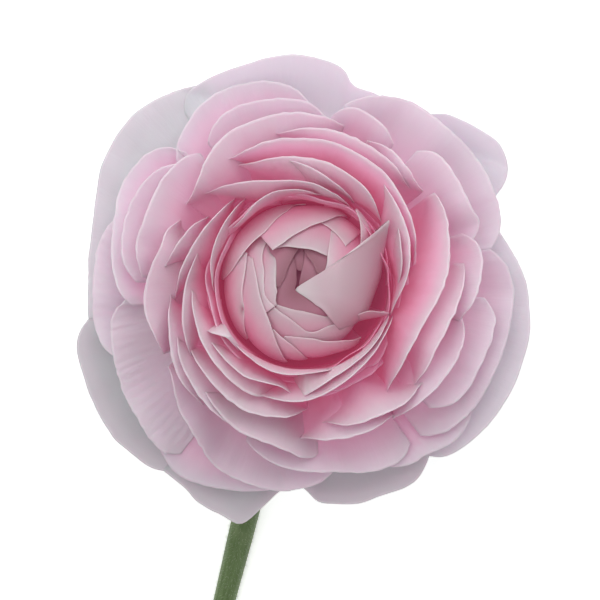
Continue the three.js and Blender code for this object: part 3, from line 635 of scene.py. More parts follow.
def petal_material(name, colours, outer_colours, look):
    """Petal tissue: a pale edge that is partly a painted highlight, a rim, and a deeper root that is partly
    painted shade in the folds, with fine lengthwise veins and an emission that paints light into the folds.

    Colours are those of the rim, the body and the root, at the first reach and at the second.
    """
    n = Finish(name)
    along, below = n.on_petal()
    tone = n.value("tone")
    outwards = n.span(n.value("reach"), *look["reaches"])

    cloud = n.noise(n.vector(n.math("MULTIPLY", along, 3.0), n.math("MULTIPLY", below, 0.9),
                             n.math("MULTIPLY", tone, 40.0)), 1.0, 3.0)
    drift = n.math("MULTIPLY_ADD", cloud, 0.5, -0.25)
    depth = n.math("MULTIPLY_ADD", drift, n.math("MULTIPLY", below, 0.9), below)
    # The colour deepens from rim to body to root with depth under the rim: partly the petal's own colour,
    # partly painted shade in the folds and crevices between petals.
    to_body, to_root = (
        n.mix(outwards, *(rgba((distance * UV_PER_MM,) * 3) for distance in pair))
        for pair in zip(*look["fade"])
    )
    body_share = n.math("MAXIMUM", n.math("SMOOTH_MIN", n.math("DIVIDE", depth, to_body), 1.0, 0.5), 0.0)
    root_share = n.math("DIVIDE", n.math("SUBTRACT", depth, to_body),
                        n.math("SUBTRACT", to_root, to_body), clamp=True)
    rim, body, root = (n.mix(outwards, rgba(a), rgba(b)) for a, b in zip(colours, outer_colours))
    colour = n.mix(root_share, n.mix(body_share, rim, body), root)
    # Each petal is made lighter or darker by its tone: at random on most, and on the guard petals as painted
    # shade away from LIT_SIDE.
    toned = n.math("MULTIPLY_ADD", tone, look["tone"], 1.0 - look["tone"] / 2)
    grey = n.add("ShaderNodeCombineColor", inputs={0: toned, 1: toned, 2: toned}).outputs[0]
    colour = n.mix(1.0, colour, grey, "MULTIPLY")

    veins = n.noise(n.vector(n.math("MULTIPLY", along, look["veins"]), n.math("MULTIPLY", below, 0.8),
                             n.math("MULTIPLY", tone, 90.0)), 1.0, 4.0, 0.6)
    vein_share = n.math("MULTIPLY", n.span(veins, 0.35, 0.68), look["vein_share"])
    colour = n.mix(vein_share, colour, n.mix(0.5, colour, body))

    # A pale band along each rim: partly the petal's pale margin, partly a painted highlight where the thin
    # rim catches the light.
    edge = n.span(n.math("MULTIPLY", below, n.math("ADD", cloud, 0.4)), 0.015, 0.055, 1.0, 0.0)
    first_edge, second_edge = look["edge"]
    edge_share = n.math("MULTIPLY_ADD", outwards, second_edge - first_edge, first_edge)
    colour = n.mix(n.math("MULTIPLY", edge, edge_share), colour, rgba(look["edge_colour"]))

    # Painted light: an emission, stronger deeper under the rim, that lights the folds and crevices as if
    # light shone through the tissue.
    glowing = n.mix(outwards, *(rgba(painted_glow) for painted_glow in look["painted_glow"]))
    painted_glow = n.mix(n.span(depth, 0.0, 0.85, 0.12, 1.0), (0.0, 0.0, 0.0, 1.0), glowing)

    grain = n.noise(n.on_object(), 2600.0, 2.0)
    bump = n.add("ShaderNodeBump", inputs={
        "Strength": look["bump"], "Distance": 0.0003, "Height": n.math("MULTIPLY_ADD", grain, 0.15, veins),
    })
    shader = n.add("ShaderNodeBsdfPrincipled", inputs={
        "Base Color": colour, "Roughness": n.span(veins, 0.3, 0.7, 0.5, 0.66), "Normal": bump.outputs[0],
        "Specular IOR Level": 0.28, "Sheen Weight": 0.08, "Sheen Roughness": 0.5,
        "Subsurface Weight": look["glow"], "Subsurface Scale": 0.0008,
        "Subsurface Radius": (0.85, 0.5, 0.64),
        "Emission Color": painted_glow, "Emission Strength": 1.0,
    })
    return n.finish(shader)


def green_material(name, colour, dark, pale):
    """Green tissue with fine lengthwise ridges, darker between them, and pale where it is rubbed."""
    n = Finish(name)
    around_it, down_it = n.on_petal()
    stretched = n.vector(n.math("MULTIPLY", around_it, 14.0), n.math("MULTIPLY", down_it, 1.2))
    ridges = n.noise(stretched, 1.0, 5.0)
    spots = n.noise(n.on_object(), 180.0, 4.0)
    base = n.mix(n.span(ridges, 0.35, 0.65), rgba(dark), rgba(colour))
    base = n.mix(n.span(spots, 0.5, 0.8, 0.0, 0.2), base, rgba(pale))
    bump = n.add("ShaderNodeBump", inputs={"Strength": 0.5, "Distance": 0.0003, "Height": ridges})
    shader = n.add("ShaderNodeBsdfPrincipled", inputs={
        "Base Color": base, "Roughness": n.span(spots, 0.3, 0.7, 0.45, 0.62),
        "Normal": bump.outputs[0], "Specular IOR Level": 0.35, "Subsurface Weight": 0.08,
        "Subsurface Radius": (0.4, 1.0, 0.2), "Subsurface Scale": 0.0008,
    })
    return n.finish(shader)


def petal_grid(table, columns_per_mm, rows):
    """The azimuths, shares across and shares up of a petal's grid, and its millimetres along the rim."""
    fine = np.linspace(table[0, 0], table[-1, 0], RIM_SAMPLES)
    rim = through(table[:, :2], fine)
    steps = np.hypot(np.diff(rim), np.diff(fine) * DEG * (rim[1:] + rim[:-1]) / 2)
    run = np.concatenate([[0], np.cumsum(steps)])
    # Columns are closer at the ends, and rows at the rim
    columns = int(np.clip(run[-1] * columns_per_mm, FEWEST_COLUMNS, MOST_COLUMNS))
    k = np.linspace(0, 1, columns + 1)[None, :]
    u = 0.6 * k + 0.4 * (0.5 - 0.5 * np.cos(math.pi * k))
    v = (1 - (1 - np.linspace(0, 1, rows + 1)) ** 1.5)[:, None]
    return np.interp(u * run[-1], run, fine), u, v, run[-1] * u


def thinned(v, thickness):
    """A petal's thickness, which falls off at its rim."""
    return thickness * (1 - 0.6 * smooth(0.85, 1.0, v))


def falling_ends(u, arc, width, power=2.0):
    """How far a petal has tapered, from 0 to 1, over its last few millimetres at each end."""
    near = np.clip(np.minimum(u, 1 - u) * arc / width, 0, 1)
    return (1 - near) ** power


def edge_notches(seed, along, amount):
    """The fine serration of a rim, with a slower unevenness under it."""
    fine = unevenness(seed, along, 0, 0.9) * np.clip(unevenness(seed + 31, along, 0, 7), 0, 1)
    return amount * (fine + 0.8 * unevenness(seed + 62, along, 0, 8))


def ruffled(middle, amount):
    """Moves a grid of points along its normals."""
    normal = unit(np.cross(np.gradient(middle, axis=1), np.gradient(middle, axis=0)))
    return middle + normal * amount[..., None]


def add_cup_petal(bunch, row, seed, sizes, height=1.0, drop=0, pale=1.0, deep=0, curled=EVENLY_CURLED,
                  wrinkled=1):
    """A petal of the cup, from its root to its rim.

    Height is its share of the profile, and drop how far its rim lies under its neighbours'. Curled
    and wrinkled are how many times more it curls and is wrinkled. Pale and deep are as in Bunch.add.
    """
    table = np.reshape(row, (-1, 2)).astype(float)
    whole = height == 1
    crumpled = wrinkled > 1
    grid = (WRINKLED_GRID if crumpled else CUP_GRID) if whole else SMALL_GRID
    azimuth, u, v, along = petal_grid(table, *grid)
    rim = np.maximum(through(row, azimuth), CUP_TIGHTEST)
    outer = smooth(*OUTER_SPAN, rim)
    rim = rim + edge_notches(seed, along, sizes.serration)

    # Its top is a little ragged, and lower at its corners
    ragged = (0.006 - 0.0045 * outer) * (1 + unevenness(seed + 500, along, 0, 3))
    top = height * (1 - CUP_CORNER * (1 - 0.5 * outer) * np.abs(2 * u - 1) ** 4 - ragged)
    top = top - (0.12 - 0.09 * outer) * falling_ends(u, along.max(), 5)
    s = CUP_START + (top - CUP_START) * v
    radius, z = cup_profile(rim, s)

    # It hugs the heart on its way up, and its rim curls out
    up = height * v
    hug = sizes.hug * (1 - outer) * smooth(0.25, 0.5, up) * (1 - np.clip((up - 0.72) / 0.28, 0, 1) ** 1.3)
    radius = radius - hug * np.maximum(radius - CUP_WAIST, 0)
    times = np.interp(u, (0, 0.5, 1), curled)
    curl = sizes.curl * (1 - outer) * (0.75 + 0.45 * unevenness(seed + 350, along, 0, 14)) * times
    radius = radius + curl * (np.clip((up - 0.84) / 0.16, 0, 1) ** 1.4 - smooth(0.6, 0.86, up))
    radius = np.maximum(radius, np.where(times * up > 1, CUP_TIGHTEST, 0))

    # Its ends stand upright, but not where it curls far
    upright = (1 - smooth(*UPRIGHT_SPAN, rim)) * falling_ends(u, along.max(), 14, 1.4) * smooth(0.3, 0.75, v)
    upright = upright * whole * (1 - smooth(1.2, 2.5, times))
    radius = radius + (rim - radius) * upright
    middle = around(azimuth, radius, z - drop * v)

    # An outer one waves more, and only it is wrinkled
    below = (1 - v) * CUP_LENGTH
    wave = unevenness(seed + 900, along, below, 20) * (0.06 + sizes.ruffle * outer) * smooth(0.3, 1.0, v)
    wrinkle = unevenness(seed + 700, along, below, CREASES[crumpled]) * 0.05 * wrinkled
    middle = ruffled(middle, wave + wrinkle * outer * smooth(0.5, 1.0, v))
    chance = np.random.default_rng(seed + 77)
    bunch.add(middle, thinned(v, sizes.thickness), along, rim, chance.uniform(0, 1), pale, deep)


def small_petal(k):
    """The azimuths and rim radii of a small petal deep in the cup, the k-th on the spiral."""
    start = (SPIRAL_ANGLE * k) % 360
    span = 75 + 25 * math.sin(1.7 * k)
    radius = SMALL_FIRST + SMALL_STEP * k
    return (start, radius + 0.5, start + span / 2, radius, start + span, radius + 1.0)


def small_height(k):
    """How much of a whole petal's profile the k-th small one has."""
    return 0.78 + 0.05 * math.sin(2.3 * k) + 0.08 * (k < SMALL_TALL)


def heart_point(azimuth, widest, turn):
    """Points of the heart, out and up from its root while turn is under a right angle, then over its dome.

    What is wider than the globe flares from it.
    """
    body = np.minimum(widest, HEART_WIDEST)
    low, high = (a * DEG for a in HEART_FLARE_SPAN)
    flare = (widest - body) * smooth(low, high, turn)
    share = np.sin(turn)
    under = turn < math.pi / 2
    z_under = HEART_MIDDLE - (HEART_MIDDLE - HEART_SEAT) * np.cos(turn) + HEART_LIFT * flare
    z_over = HEART_MIDDLE - HEART_ARCH * body * np.cos(turn) + HEART_LIFT * flare * share**4
    level, start = EYE_DIP
    dip = np.maximum(body - level, 0) * HEART_ARCH * (1 - smooth(0.5, start, body * share))
    z_over = z_over - dip
    radius_under = HEART_ROOT + (body - HEART_ROOT) * share + flare
    radius = np.where(under, radius_under, (body + flare) * share)
    return around(azimuth, radius, np.where(under, z_under, z_over))


def add_heart_petal(bunch, row, seed, sizes, sunk=0, shift=(0, 0)):
    """A petal of the heart: out from its root to its widest, then over the dome to its rim.

    Sunk is how much deeper in the heart it counts as for its colour, which gives it more of the eye's
    painted shade. Shift moves what is near the axis.
    """
    table = np.reshape(row, (-1, 3)).astype(float)
    azimuth, _, v, along = petal_grid(table, *HEART_GRID)
    rim = through(table[:, :2], azimuth)
    widest = through(table[:, [0, 2]], azimuth)
    rim = rim + edge_notches(seed, along, sizes.serration)
    top = math.pi - np.arcsin(np.clip(rim / widest, 0, 1))
    turn = HEART_START * DEG + (top - HEART_START * DEG) * v
    middle = heart_point(azimuth, widest, turn)
    near = (1 - smooth(0, 7, np.hypot(middle[..., 0], middle[..., 1]))) * (turn > math.pi / 2)
    middle[..., :2] += near[..., None] * np.array(shift)
    below = (1 - v) * CUP_LENGTH
    wave = unevenness(seed + 900, along, below, 11) * 0.07 * smooth(0.3, 1.0, v)
    tuck = (0.6 + 0.16 * unevenness(seed + 40, along, 0, 9)) * smooth(0.72, 1.0, v)
    tuck = tuck * np.clip(rim / 9, 0, 1) ** 1.5 * (1 - smooth(HEART_WIDEST - 1, HEART_WIDEST + 1.5, widest))
    middle = ruffled(middle, wave - tuck)
    chance = np.random.default_rng(seed + 77)
    pale = OPEN_PALE if widest.max() > HEART_OPEN else 1.0
    bunch.add(middle, thinned(v, sizes.thickness), along, widest - sunk, chance.uniform(0, 1), pale)


def pressed(points, floor):
    """Moves points along the bloom's axis until they are no lower than floor over the surface."""
    height = points @ TURN_ARRAY[2] + BLOOM_HEIGHT
    points[..., 2] += np.maximum(floor - height, 0) / math.cos(BLOOM_TILT * DEG)
    return points


def add_guard_petal(bunch, row, seed, sizes):
    """A wide pale petal under the cup, pressed by the bloom's weight where it meets the surface."""
    layer = row[0]
    table = np.reshape(row[1:], (-1, 2)).astype(float)
    azimuth, u, v, along = petal_grid(table, *GUARD_GRID)
    rim = through(row[1:], azimuth)
    rim = rim + edge_notches(seed, along, sizes.serration)
    drop = GUARD_LAYER * (1 - layer)
    s = GUARD_START + (1 - GUARD_START) * v
    radius, z = profile((ROOT_RADIUS, GUARD_SEAT - drop), (rim, GUARD_RISE - drop),
                        GUARD_FLARE, GUARD_LEAN, CUP_PULL, s)
    z = z - GUARD_TUCK * layer * falling_ends(u, along.max(), 6, 1)
    middle = around(azimuth, radius, z)
    below = (1 - v) * GUARD_LENGTH
    wave = unevenness(seed + 900, along, below, 16) * sizes.ruffle * 0.7 * smooth(0.45, 1.0, v)
    middle = ruffled(middle, wave * 0.5)
    middle = pressed(middle, sizes.thickness / 2 + GUARD_LAYER * layer + LOWEST)
    # Painted light: how far the petal lies from LIT_SIDE, from 0 to 1. As its reach it picks between the lit
    # and the shaded palette, and as its tone it darkens the petal.
    shaded = 0.5 - 0.5 * math.cos((azimuth.mean() - LIT_SIDE) * DEG)
    bunch.add(middle, thinned(v, sizes.thickness), along, shaded, shaded)


def cup_core_outline():
    """The outline of the cup's fleshy base, from the axis under it to the axis inside its bowl."""
    outline = [(0, CORE_BOTTOM)]
    last = len(CORE_RIMS) - 1
    for k in range(4):
        outline.append(tuple(float(c) for c in cup_profile(CORE_RIMS[last], CORE_TOPS[last] * k / 3)))
    for n in range(last - 1, 0, -1):
        outline.append(tuple(float(c) for c in cup_profile(CORE_RIMS[n], CORE_TOPS[n])))
    for k in range(3, -1, -1):
        outline.append(tuple(float(c) for c in cup_profile(CORE_RIMS[0], CORE_TOPS[0] * k / 3)))
    outline.append((0, CORE_FLOOR))
    return outline


class RanunculusSizes(bpy.types.PropertyGroup):
    """Sizes of the petals and the hairs."""

    thickness: FloatProperty(name="Petal thickness", description="Thickness of a petal, in millimetres",
                             default=0.3, min=0.1, max=0.6)
    serration: FloatProperty(name="Serration", description="How uneven a petal's edge is, in millimetres",
                             default=0.06, min=0, max=0.5)
    curl: FloatProperty(name="Curl", description="How far the inner petals' edges curl out, in millimetres",
                        default=0.9, min=0, max=2.5)
    hug: FloatProperty(name="Hug", description="How closely the cup's petals hug the heart below their rims",
                       default=0.6, min=0, max=0.9)
    ruffle: FloatProperty(name="Ruffle", description="How far the outer petals wave, in millimetres",
                          default=0.5, min=0, max=1.5)
    hair_length: FloatProperty(name="Hair length", description="Length of the stem's hairs",
                               default=0.0008, min=0.0002, max=0.003, subtype="DISTANCE", unit="LENGTH")
    hair_density: FloatProperty(name="Hair density", description="Hairs on each square metre of stem",
                                default=2.4e6, min=1e5, max=1e7)
    hair_seed: IntProperty(name="Hair seed", description="Chooses where the hairs stand", default=7, min=0)


def colour(name, description, default):
    """A colour that a user can change."""
    return FloatVectorProperty(name=name, description=description, subtype="COLOR", size=3,
                               default=default, min=0, max=1)


class RanunculusColours(bpy.types.PropertyGroup):
    """Colours of the petals, the calyx and the stem."""

    # Each petal palette runs from rim to body to root with depth under the rim; the deeper colours are
    # partly the petals' own and partly painted shade in the folds.
    heart_rim: colour("Heart rim", "Edges of the heart's petals", ink(225, 205, 212))
    heart_body: colour("Heart body", "Middle of the heart's petals", ink(224, 170, 190))
    heart_root: colour("Heart root", "Deep parts of the heart's petals", ink(225, 140, 174))
    ring_rim: colour("Ring rim", "Edges of the petals round the heart", ink(236, 214, 222))
    ring_body: colour("Ring body", "Middle of the petals round the heart", ink(215, 148, 174))
    ring_root: colour("Ring root", "Deep parts of the petals round the heart", ink(190, 72, 110))
    outer_rim: colour("Outer rim", "Edges of the cup's outer petals", ink(216, 208, 216))
    outer_body: colour("Outer body", "Middle of the cup's outer petals", ink(211, 186, 201))
    outer_root: colour("Outer root", "Deep parts of the cup's outer petals", ink(226, 146, 176))
    # Lit and shaded copies of the guard palette, painted light: the first for the side towards LIT_SIDE, the
    # next two for the side away from it
    lit_guard_rim: colour("Lit guard rim", "Edges of the lit guard petals", ink(212, 208, 216))
    lit_guard_body: colour("Lit guard body", "Middle of the lit guard petals", ink(205, 211, 213))
    shaded_guard_rim: colour("Guard rim", "Edges of the guard petals", ink(196, 201, 202))
    shaded_guard_body: colour("Guard body", "Middle of the guard petals", ink(189, 194, 196))
    guard_root: colour("Guard root", "Deep parts of the guard petals", ink(196, 198, 190))
    sepal: colour("Sepal", "The sepals under the bloom", ink(150, 164, 104))
    stem: colour("Stem", "The stem", ink(118, 140, 94))
    stem_dark: colour("Stem furrows", "Between the stem's ridges", ink(103, 125, 79))
    floor: colour("Floor", "The table that the flower lies on", (0.92, 0.92, 0.92))


class RANUNCULUS_OT_stage(bpy.types.Operator):
    """Lays the floor, hangs soft studio light and sets the camera at the photograph's angle"""

    bl_idname = "ranunculus.stage"
    bl_label = "Stage"

    def execute(self, context):
        scene = context.scene
        half = FLOOR_HALF
        corners = [(-half, -half, 0), (half, -half, 0), (half, half, 0), (-half, half, 0)]
        n = Finish("pale_table")
        speck = n.span(n.noise(n.on_object(), 60.0, 2.0), 0.3, 0.7, 0.0, 0.02)
        pale = n.mix(speck, rgba(scene.ranunculus_colours.floor), rgba((0.88, 0.88, 0.88)))
        shader = n.add("ShaderNodeBsdfPrincipled", inputs={
            "Base Color": pale, "Roughness": 0.9, "Specular IOR Level": 0.1,
            "Emission Color": (1.0, 1.0, 1.0, 1.0), "Emission Strength": 0.6,
        })
        floor = new_piece("table_top", corners, [(0, 1, 2, 3)], n.finish(shader))

        world = bpy.data.worlds.new("studio")
        world.use_nodes = True
        background = world.node_tree.nodes["Background"]
        background.inputs["Color"].default_value = (1.0, 1.0, 1.0, 1.0)
        background.inputs["Strength"].default_value = WORLD_LIGHT
        scene.world = world
        aim = BLOOM_ORIGIN * MM
        for name, offset, size, power in LAMPS:
            data = bpy.data.lights.new(name, "AREA")
            data.shape = "DISK"
            data.size = size
            data.energy = power
            lamp = bpy.data.objects.new(name, data)
            lamp.location = aim + Vector(offset)
            lamp.rotation_euler = (-Vector(offset)).to_track_quat("-Z", "Y").to_euler()
            scene.collection.objects.link(lamp)

        data = bpy.data.cameras.new("camera")
        data.sensor_width = SENSOR
        data.lens = SENSOR * (VIEW_DISTANCE - VIEW_PLANE) / VIEW_WIDTH
        data.clip_start = 0.1
        data.clip_end = 50
        camera = bpy.data.objects.new("camera", data)
        camera.location = (BLOOM_ORIGIN + TURN @ Vector((*VIEW_CENTRE, VIEW_DISTANCE))) * MM
        camera.rotation_euler = TURN.to_euler()
        scene.collection.objects.link(camera)
        scene.camera = camera
        scene.view_settings.view_transform = "Standard"
        return {"FINISHED"}


class RANUNCULUS_OT_heart(bpy.types.Operator):
    """Builds the closed heart of the bloom and the small petals round its eye"""

    bl_idname = "ranunculus.heart"
    bl_label = "Heart petals"

    def execute(self, context):
        sizes, colours = context.scene.ranunculus_sizes, context.scene.ranunculus_colours
        bunch = Bunch()
        for k, row in enumerate(HEART_PETALS):
            shift = EYE_SHIFT if k == HEART_LAST else (0, 0)
            add_heart_petal(bunch, row, HEART_SEED + k, sizes, shift=shift)
        for k, row in enumerate(EYE_PETALS):
            shift = INNER_SHIFT if k == len(EYE_PETALS) - 1 else (0, 0)
            add_heart_petal(bunch, row, EYE_SEED + k, sizes, sunk=EYE_SUNK, shift=shift)
        outline = [(0, HEART_SEAT)]
        for turn in range(0, 180, 12):
            point = heart_point(0, HEART_CORE, turn * DEG)
            outline.append((max(float(point[0]), 0.05), float(point[2])))
        outline.append((0, HEART_MIDDLE + HEART_ARCH * HEART_CORE))
        bunch.solid(outline, 32, 7)
        palette = (colours.heart_rim, colours.heart_body, colours.heart_root)
        material = petal_material("heart_petals", EYE_COLOURS, palette, HEART_LOOK)
        obj = bunch.mesh("heart_petals_fine", material)
        stand_in(obj, "heart_petals")
        return {"FINISHED"}


class RANUNCULUS_OT_cup(bpy.types.Operator):
    """Builds the cup of thin petals that stand in spirals round the heart"""

    bl_idname = "ranunculus.cup"
    bl_label = "Cup petals"

    def execute(self, context):
        sizes, colours = context.scene.ranunculus_sizes, context.scene.ranunculus_colours
        bunch = Bunch()
        for k, row in enumerate(INNER_PETALS + MIDDLE_PETALS + OUTER_PETALS):
            add_cup_petal(bunch, row, CUP_SEED + k, sizes, pale=PALE_FACES.get(k, 1.0),
                          curled=CURLED.get(k, EVENLY_CURLED), wrinkled=WRINKLED.get(k, 1))
        for k in range(SMALL_PETALS):
            height = small_height(k)
            # The shorter small petals lie deeper and start further into the deeper colour, which is partly
            # painted shade.
            add_cup_petal(bunch, small_petal(k), SMALL_SEED + k, sizes, height, deep=40 * (1 - height))
        for k, row in enumerate(UNDER_PETALS):
            add_cup_petal(bunch, row, UNDER_SEED + k, sizes, drop=UNDER_DROP, pale=UNDER_PALE)
        bunch.solid(cup_core_outline(), 48, 20)
        ring = (colours.ring_rim, colours.ring_body, colours.ring_root)
        outer = (colours.outer_rim, colours.outer_body, colours.outer_root)
        material = petal_material("cup_petals", ring, outer, CUP_LOOK)
        obj = bunch.mesh("cup_petals_fine", material)
        stand_in(obj, "petals")
        return {"FINISHED"}


class RANUNCULUS_OT_guards(bpy.types.Operator):
    """Builds the wide pale guard petals under the cup"""

    bl_idname = "ranunculus.guards"
    bl_label = "Guard petals"

    def execute(self, context):
        sizes, colours = context.scene.ranunculus_sizes, context.scene.ranunculus_colours
        bunch = Bunch()
        for k, row in enumerate(GUARD_PETALS):
            add_guard_petal(bunch, row, GUARD_SEED + k, sizes)
        top = CORE_BOTTOM - GAP
        bunch.solid([(0, GUARD_BOTTOM), (10, GUARD_BOTTOM), (10, top), (0, top)], 48, 1)
        # Lit and shaded copies of the guard palette: painted light, chosen by how far each petal lies from
        # LIT_SIDE
        lit_palette = (colours.lit_guard_rim, colours.lit_guard_body, colours.guard_root)
        shaded = (colours.shaded_guard_rim, colours.shaded_guard_body, colours.guard_root)
        material = petal_material("guard_petals", lit_palette, shaded, GUARD_LOOK)
        obj = bunch.mesh("guard_petals_fine", material)
        stand_in(obj, "guard_petals")
        return {"FINISHED"}


class RANUNCULUS_OT_calyx(bpy.types.Operator):
    """Builds the sepals and their collar under the bloom"""

    bl_idname = "ranunculus.calyx"
    bl_label = "Calyx"

    def execute(self, context):
        colours = context.scene.ranunculus_colours
        bunch = Bunch()
        u = np.linspace(0, 1, SEPAL_GRID[0] + 1)[None, :]
        v = np.linspace(0, 1, SEPAL_GRID[1] + 1)[:, None]
        for n in range(SEPALS):
            out = ROOT_RADIUS - SEPAL_INSET + SEPAL_LENGTH * v
            half = SEPAL_WIDTH / 2 * np.sqrt(np.sin(math.pi * (0.22 + 0.74 * v)))
            across = half * (2 * u - 1)
            z = SEPAL_SEAT - SEPAL_DROOP * v * v - SEPAL_FOLD * across * across * v
            out, across, z = np.broadcast_arrays(out, across, z)
            turn = (SEPAL_FIRST + n * 360 / SEPALS) * DEG
            middle = np.stack([out * math.cos(turn) - across * math.sin(turn),
                               out * math.sin(turn) + across * math.cos(turn), z], -1)
            middle = ruffled(middle, unevenness(SEPAL_SEED + n, across, out, 7) * 0.12 * smooth(0.3, 1, v))
            thickness = SEPAL_THICKNESS * (1 - 0.5 * smooth(0.85, 1, v))
            bunch.add(middle, thickness, across + n * 9, 10, n / SEPALS)
        seat = SOLID_PETAL / 2
        bunch.solid([(0, SEPAL_SEAT - seat), (COLLAR_RADIUS, SEPAL_SEAT - seat),
                     (COLLAR_RADIUS, SEPAL_SEAT + seat), (0, SEPAL_SEAT + seat)], 40, 10)
        dark = tuple(c * 0.7 for c in colours.sepal)
        obj = bunch.mesh("calyx_fine", green_material("sepals", colours.sepal, dark, ink(196, 190, 150)))
        stand_in(obj, "calyx")
        return {"FINISHED"}


def stem_path():
    """The stem's middle line: an arc down from the bloom, then a slow bow along the surface."""
    lean = BLOOM_TILT * DEG
    axis = np.array([0, math.sin(lean), math.cos(lean)])
    top = np.array([0, 0, BLOOM_HEIGHT]) + axis * STEM_TOP
    bend = (90 - BLOOM_TILT) * DEG
    cosine = math.cos(math.pi / STEM_SIDES)
    neck = (top[2] - through(STEM_RADII, STEM_NECK_SHARE) * cosine) / (1 - math.cos(bend))
    arc = neck * bend

    def at(share):
        along = share * STEM_LENGTH
        swept = min(along / arc, 1) * bend
        left = max(along - arc, 0)
        down = neck * (math.cos(bend - swept) - math.cos(bend))
        back = neck * (math.sin(bend) - math.sin(bend - swept))
        bowed = max(left / (STEM_LENGTH - arc) - STEM_STRAIGHT, 0) / (1 - STEM_STRAIGHT)
        side = STEM_BOW * bowed**2
        height = float(through(STEM_RADII, share)) * cosine if left > 0 else top[2] - down
        return np.array([side, top[1] - back - left, height]) + np.array(FLOWER_AT)

    return at


def stem_surface():
    """Rings of points round the stem with a hollow at its cut end, their faces and petal coordinates."""
    path = stem_path()
    levels = [((k / STEM_RINGS) ** 1.2, 1.0, 0.0) for k in range(STEM_RINGS + 1)]
    levels += [(1.0, width, out) for width, out in STEM_END]
    angle = 2 * math.pi * np.arange(STEM_FINE_SIDES) / STEM_FINE_SIDES
    rows, places = [], []
    for share, width, out in levels:
        middle = path(share)
        ahead = unit(path(min(share + 0.002, 1)) - path(max(share - 0.002, 0)))
        across = unit(np.cross([0, 0, 1], ahead))
        up = np.cross(ahead, across)
        radius = float(through(STEM_RADII, share)) * width
        ridge = np.cos(angle * STEM_RIDGES + 0.6 * math.sin(share * 9))
        ridged = radius * (1 - RIDGE_DEPTH + RIDGE_DEPTH * ridge)
        ring = middle + ahead * out + np.outer(ridged * np.sin(angle), across)
        ring = ring - np.outer(ridged * np.cos(angle), up)
        ring[:, 2] = np.maximum(ring[:, 2], LOWEST)
        rows.append(ring)
        places.append(np.stack([angle * 2.6, np.full(STEM_FINE_SIDES, share * STEM_LENGTH)], -1))
    grid = np.arange(len(levels) * STEM_FINE_SIDES).reshape(len(levels), STEM_FINE_SIDES)
    following = np.roll(grid, -1, axis=1)
    quads = np.stack([grid[:-1], following[:-1], following[1:], grid[1:]], -1).reshape(-1, 4)
    faces = [*quads.tolist(), grid[0, ::-1].tolist(), grid[-1].tolist()]
    return np.concatenate(rows), faces, np.concatenate(places)


def hair_tree(material):
    """Geometry nodes that scatter short bent hairs over a surface, and the names of their inputs."""
    tree = bpy.data.node_groups.new("stem_hairs", "GeometryNodeTree")
    face = tree.interface
    face.new_socket("Geometry", in_out="INPUT", socket_type="NodeSocketGeometry")
    length = face.new_socket("Hair length", in_out="INPUT", socket_type="NodeSocketFloat")
    density = face.new_socket("Hairs per area", in_out="INPUT", socket_type="NodeSocketFloat")
    seed = face.new_socket("Seed", in_out="INPUT", socket_type="NodeSocketInt")
    face.new_socket("Geometry", in_out="OUTPUT", socket_type="NodeSocketGeometry")
    n = Nodes(tree)
    start = n.add("NodeGroupInput").outputs
    scatter = n.add("GeometryNodeDistributePointsOnFaces", inputs={
        "Mesh": start["Geometry"], "Density": start["Hairs per area"], "Seed": start["Seed"],
    })
    hair = n.add("GeometryNodeMeshCone", inputs={
        "Vertices": HAIR_SIDES, "Radius Top": HAIR_TOP, "Radius Bottom": HAIR_BOTTOM,
        "Depth": start["Hair length"],
    })
    chance = n.add("FunctionNodeRandomValue", data_type="FLOAT_VECTOR", inputs={
        0: (-HAIR_BEND,) * 3, 1: (HAIR_BEND,) * 3, "Seed": start["Seed"],
    })
    lean = n.add("ShaderNodeVectorMath", operation="ADD", inputs={
        0: scatter.outputs["Normal"], 1: chance.outputs[0],
    })
    stand = n.add("FunctionNodeAlignRotationToVector", axis="Z", inputs={"Vector": lean.outputs[0]})
    scale = n.add("FunctionNodeRandomValue", inputs={
        2: HAIR_SHORTEST, 3: HAIR_LONGEST, "Seed": start["Seed"],
    })
    placed = n.add("GeometryNodeInstanceOnPoints", inputs={
        "Points": scatter.outputs["Points"], "Instance": hair.outputs["Mesh"],
        "Rotation": stand.outputs["Rotation"], "Scale": scale.outputs[1],
    })
    real = n.add("GeometryNodeRealizeInstances", inputs={0: placed.outputs[0]})
    dressed = n.add("GeometryNodeSetMaterial", inputs={"Geometry": real.outputs[0], "Material": material})
    n.add("NodeGroupOutput", inputs={0: dressed.outputs[0]})
    return tree, length.identifier, density.identifier, seed.identifier


def hair_mesh(context, skin):
    """The hairs that the geometry nodes grow on the stem's skin, as a plain mesh."""
    n = Finish("stem_hair")
    tint = n.mix(n.noise(n.on_object(), 400.0, 2.0), rgba(ink(172, 184, 154)), rgba(ink(206, 213, 192)))
    shader = n.add("ShaderNodeBsdfPrincipled", inputs={
        "Base Color": tint, "Roughness": 0.6, "Specular IOR Level": 0.3,
    })
    tree, length, density, seed = hair_tree(n.finish(shader))
    host = bpy.data.objects.new("hair_host", skin.copy())
    context.scene.collection.objects.link(host)
    modifier = host.modifiers.new("hairs", "NODES")
    modifier.node_group = tree
    sizes = context.scene.ranunculus_sizes
    modifier[length] = sizes.hair_length
    modifier[density] = sizes.hair_density
    modifier[seed] = sizes.hair_seed
    graph = context.evaluated_depsgraph_get()
    mesh = bpy.data.meshes.new_from_object(host.evaluated_get(graph))
    bpy.data.objects.remove(host)
    points = np.empty(len(mesh.vertices) * 3, np.float32)
    mesh.vertices.foreach_get("co", points)
    points[2::3] = np.maximum(points[2::3], LOWEST / 2 * MM)
    mesh.vertices.foreach_set("co", points)
    return mesh


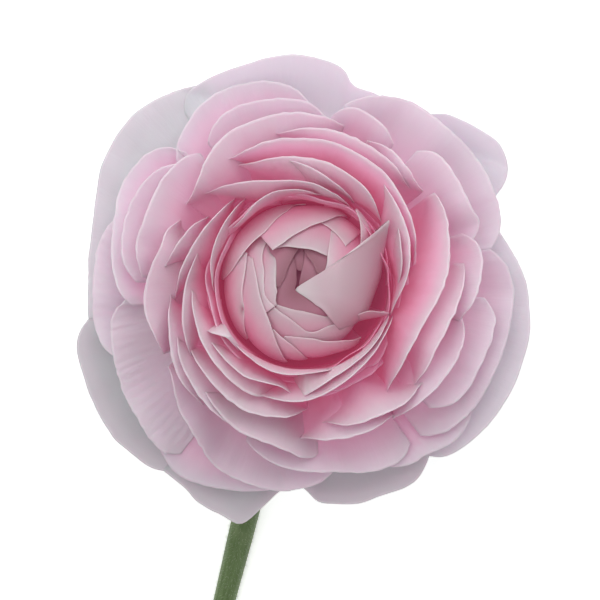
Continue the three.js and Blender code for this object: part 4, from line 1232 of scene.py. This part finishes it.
class RANUNCULUS_OT_stem(bpy.types.Operator):
    """Builds the hollow stem and the short hairs on it"""

    bl_idname = "ranunculus.stem"
    bl_label = "Stem"

    def execute(self, context):
        colours = context.scene.ranunculus_colours
        points, faces, places = stem_surface()
        material = green_material("stem_skin", colours.stem, colours.stem_dark, ink(168, 178, 140))
        obj = new_piece("stem_fine", points * MM, faces, material, places=places)
        stand_in(obj, "stem")
        hairs = bpy.data.objects.new("stem_hairs", hair_mesh(context, obj.data))
        context.scene.collection.objects.link(hairs)
        stand_in(hairs, "stem")
        return {"FINISHED"}


class RANUNCULUS_PT_panel(bpy.types.Panel):
    """Lists the flower's pieces, sizes and colours"""

    bl_idname = "RANUNCULUS_PT_panel"
    bl_label = "Ranunculus"
    bl_space_type = "VIEW_3D"
    bl_region_type = "UI"
    bl_category = "Ranunculus"

    def draw(self, context):
        for operator in OPERATORS:
            self.layout.operator(operator.bl_idname)
        for group in (context.scene.ranunculus_sizes, context.scene.ranunculus_colours):
            column = self.layout.column()
            for name in group.bl_rna.properties.keys():
                if name not in ("rna_type", "name"):
                    column.prop(group, name)


OPERATORS = (RANUNCULUS_OT_stage, RANUNCULUS_OT_heart, RANUNCULUS_OT_cup, RANUNCULUS_OT_guards,
             RANUNCULUS_OT_calyx, RANUNCULUS_OT_stem)
CLASSES = (RanunculusSizes, RanunculusColours, *OPERATORS, RANUNCULUS_PT_panel)


def register():
    for each in CLASSES:
        bpy.utils.register_class(each)
    bpy.types.Scene.ranunculus_sizes = PointerProperty(type=RanunculusSizes)
    bpy.types.Scene.ranunculus_colours = PointerProperty(type=RanunculusColours)


def unregister():
    del bpy.types.Scene.ranunculus_sizes
    del bpy.types.Scene.ranunculus_colours
    for each in reversed(CLASSES):
        bpy.utils.unregister_class(each)


def main():
    register()
    bpy.ops.ranunculus.stage()
    bpy.ops.ranunculus.heart()
    bpy.ops.ranunculus.cup()
    bpy.ops.ranunculus.guards()
    bpy.ops.ranunculus.calyx()
    bpy.ops.ranunculus.stem()


if __name__ == "__main__":
    main()
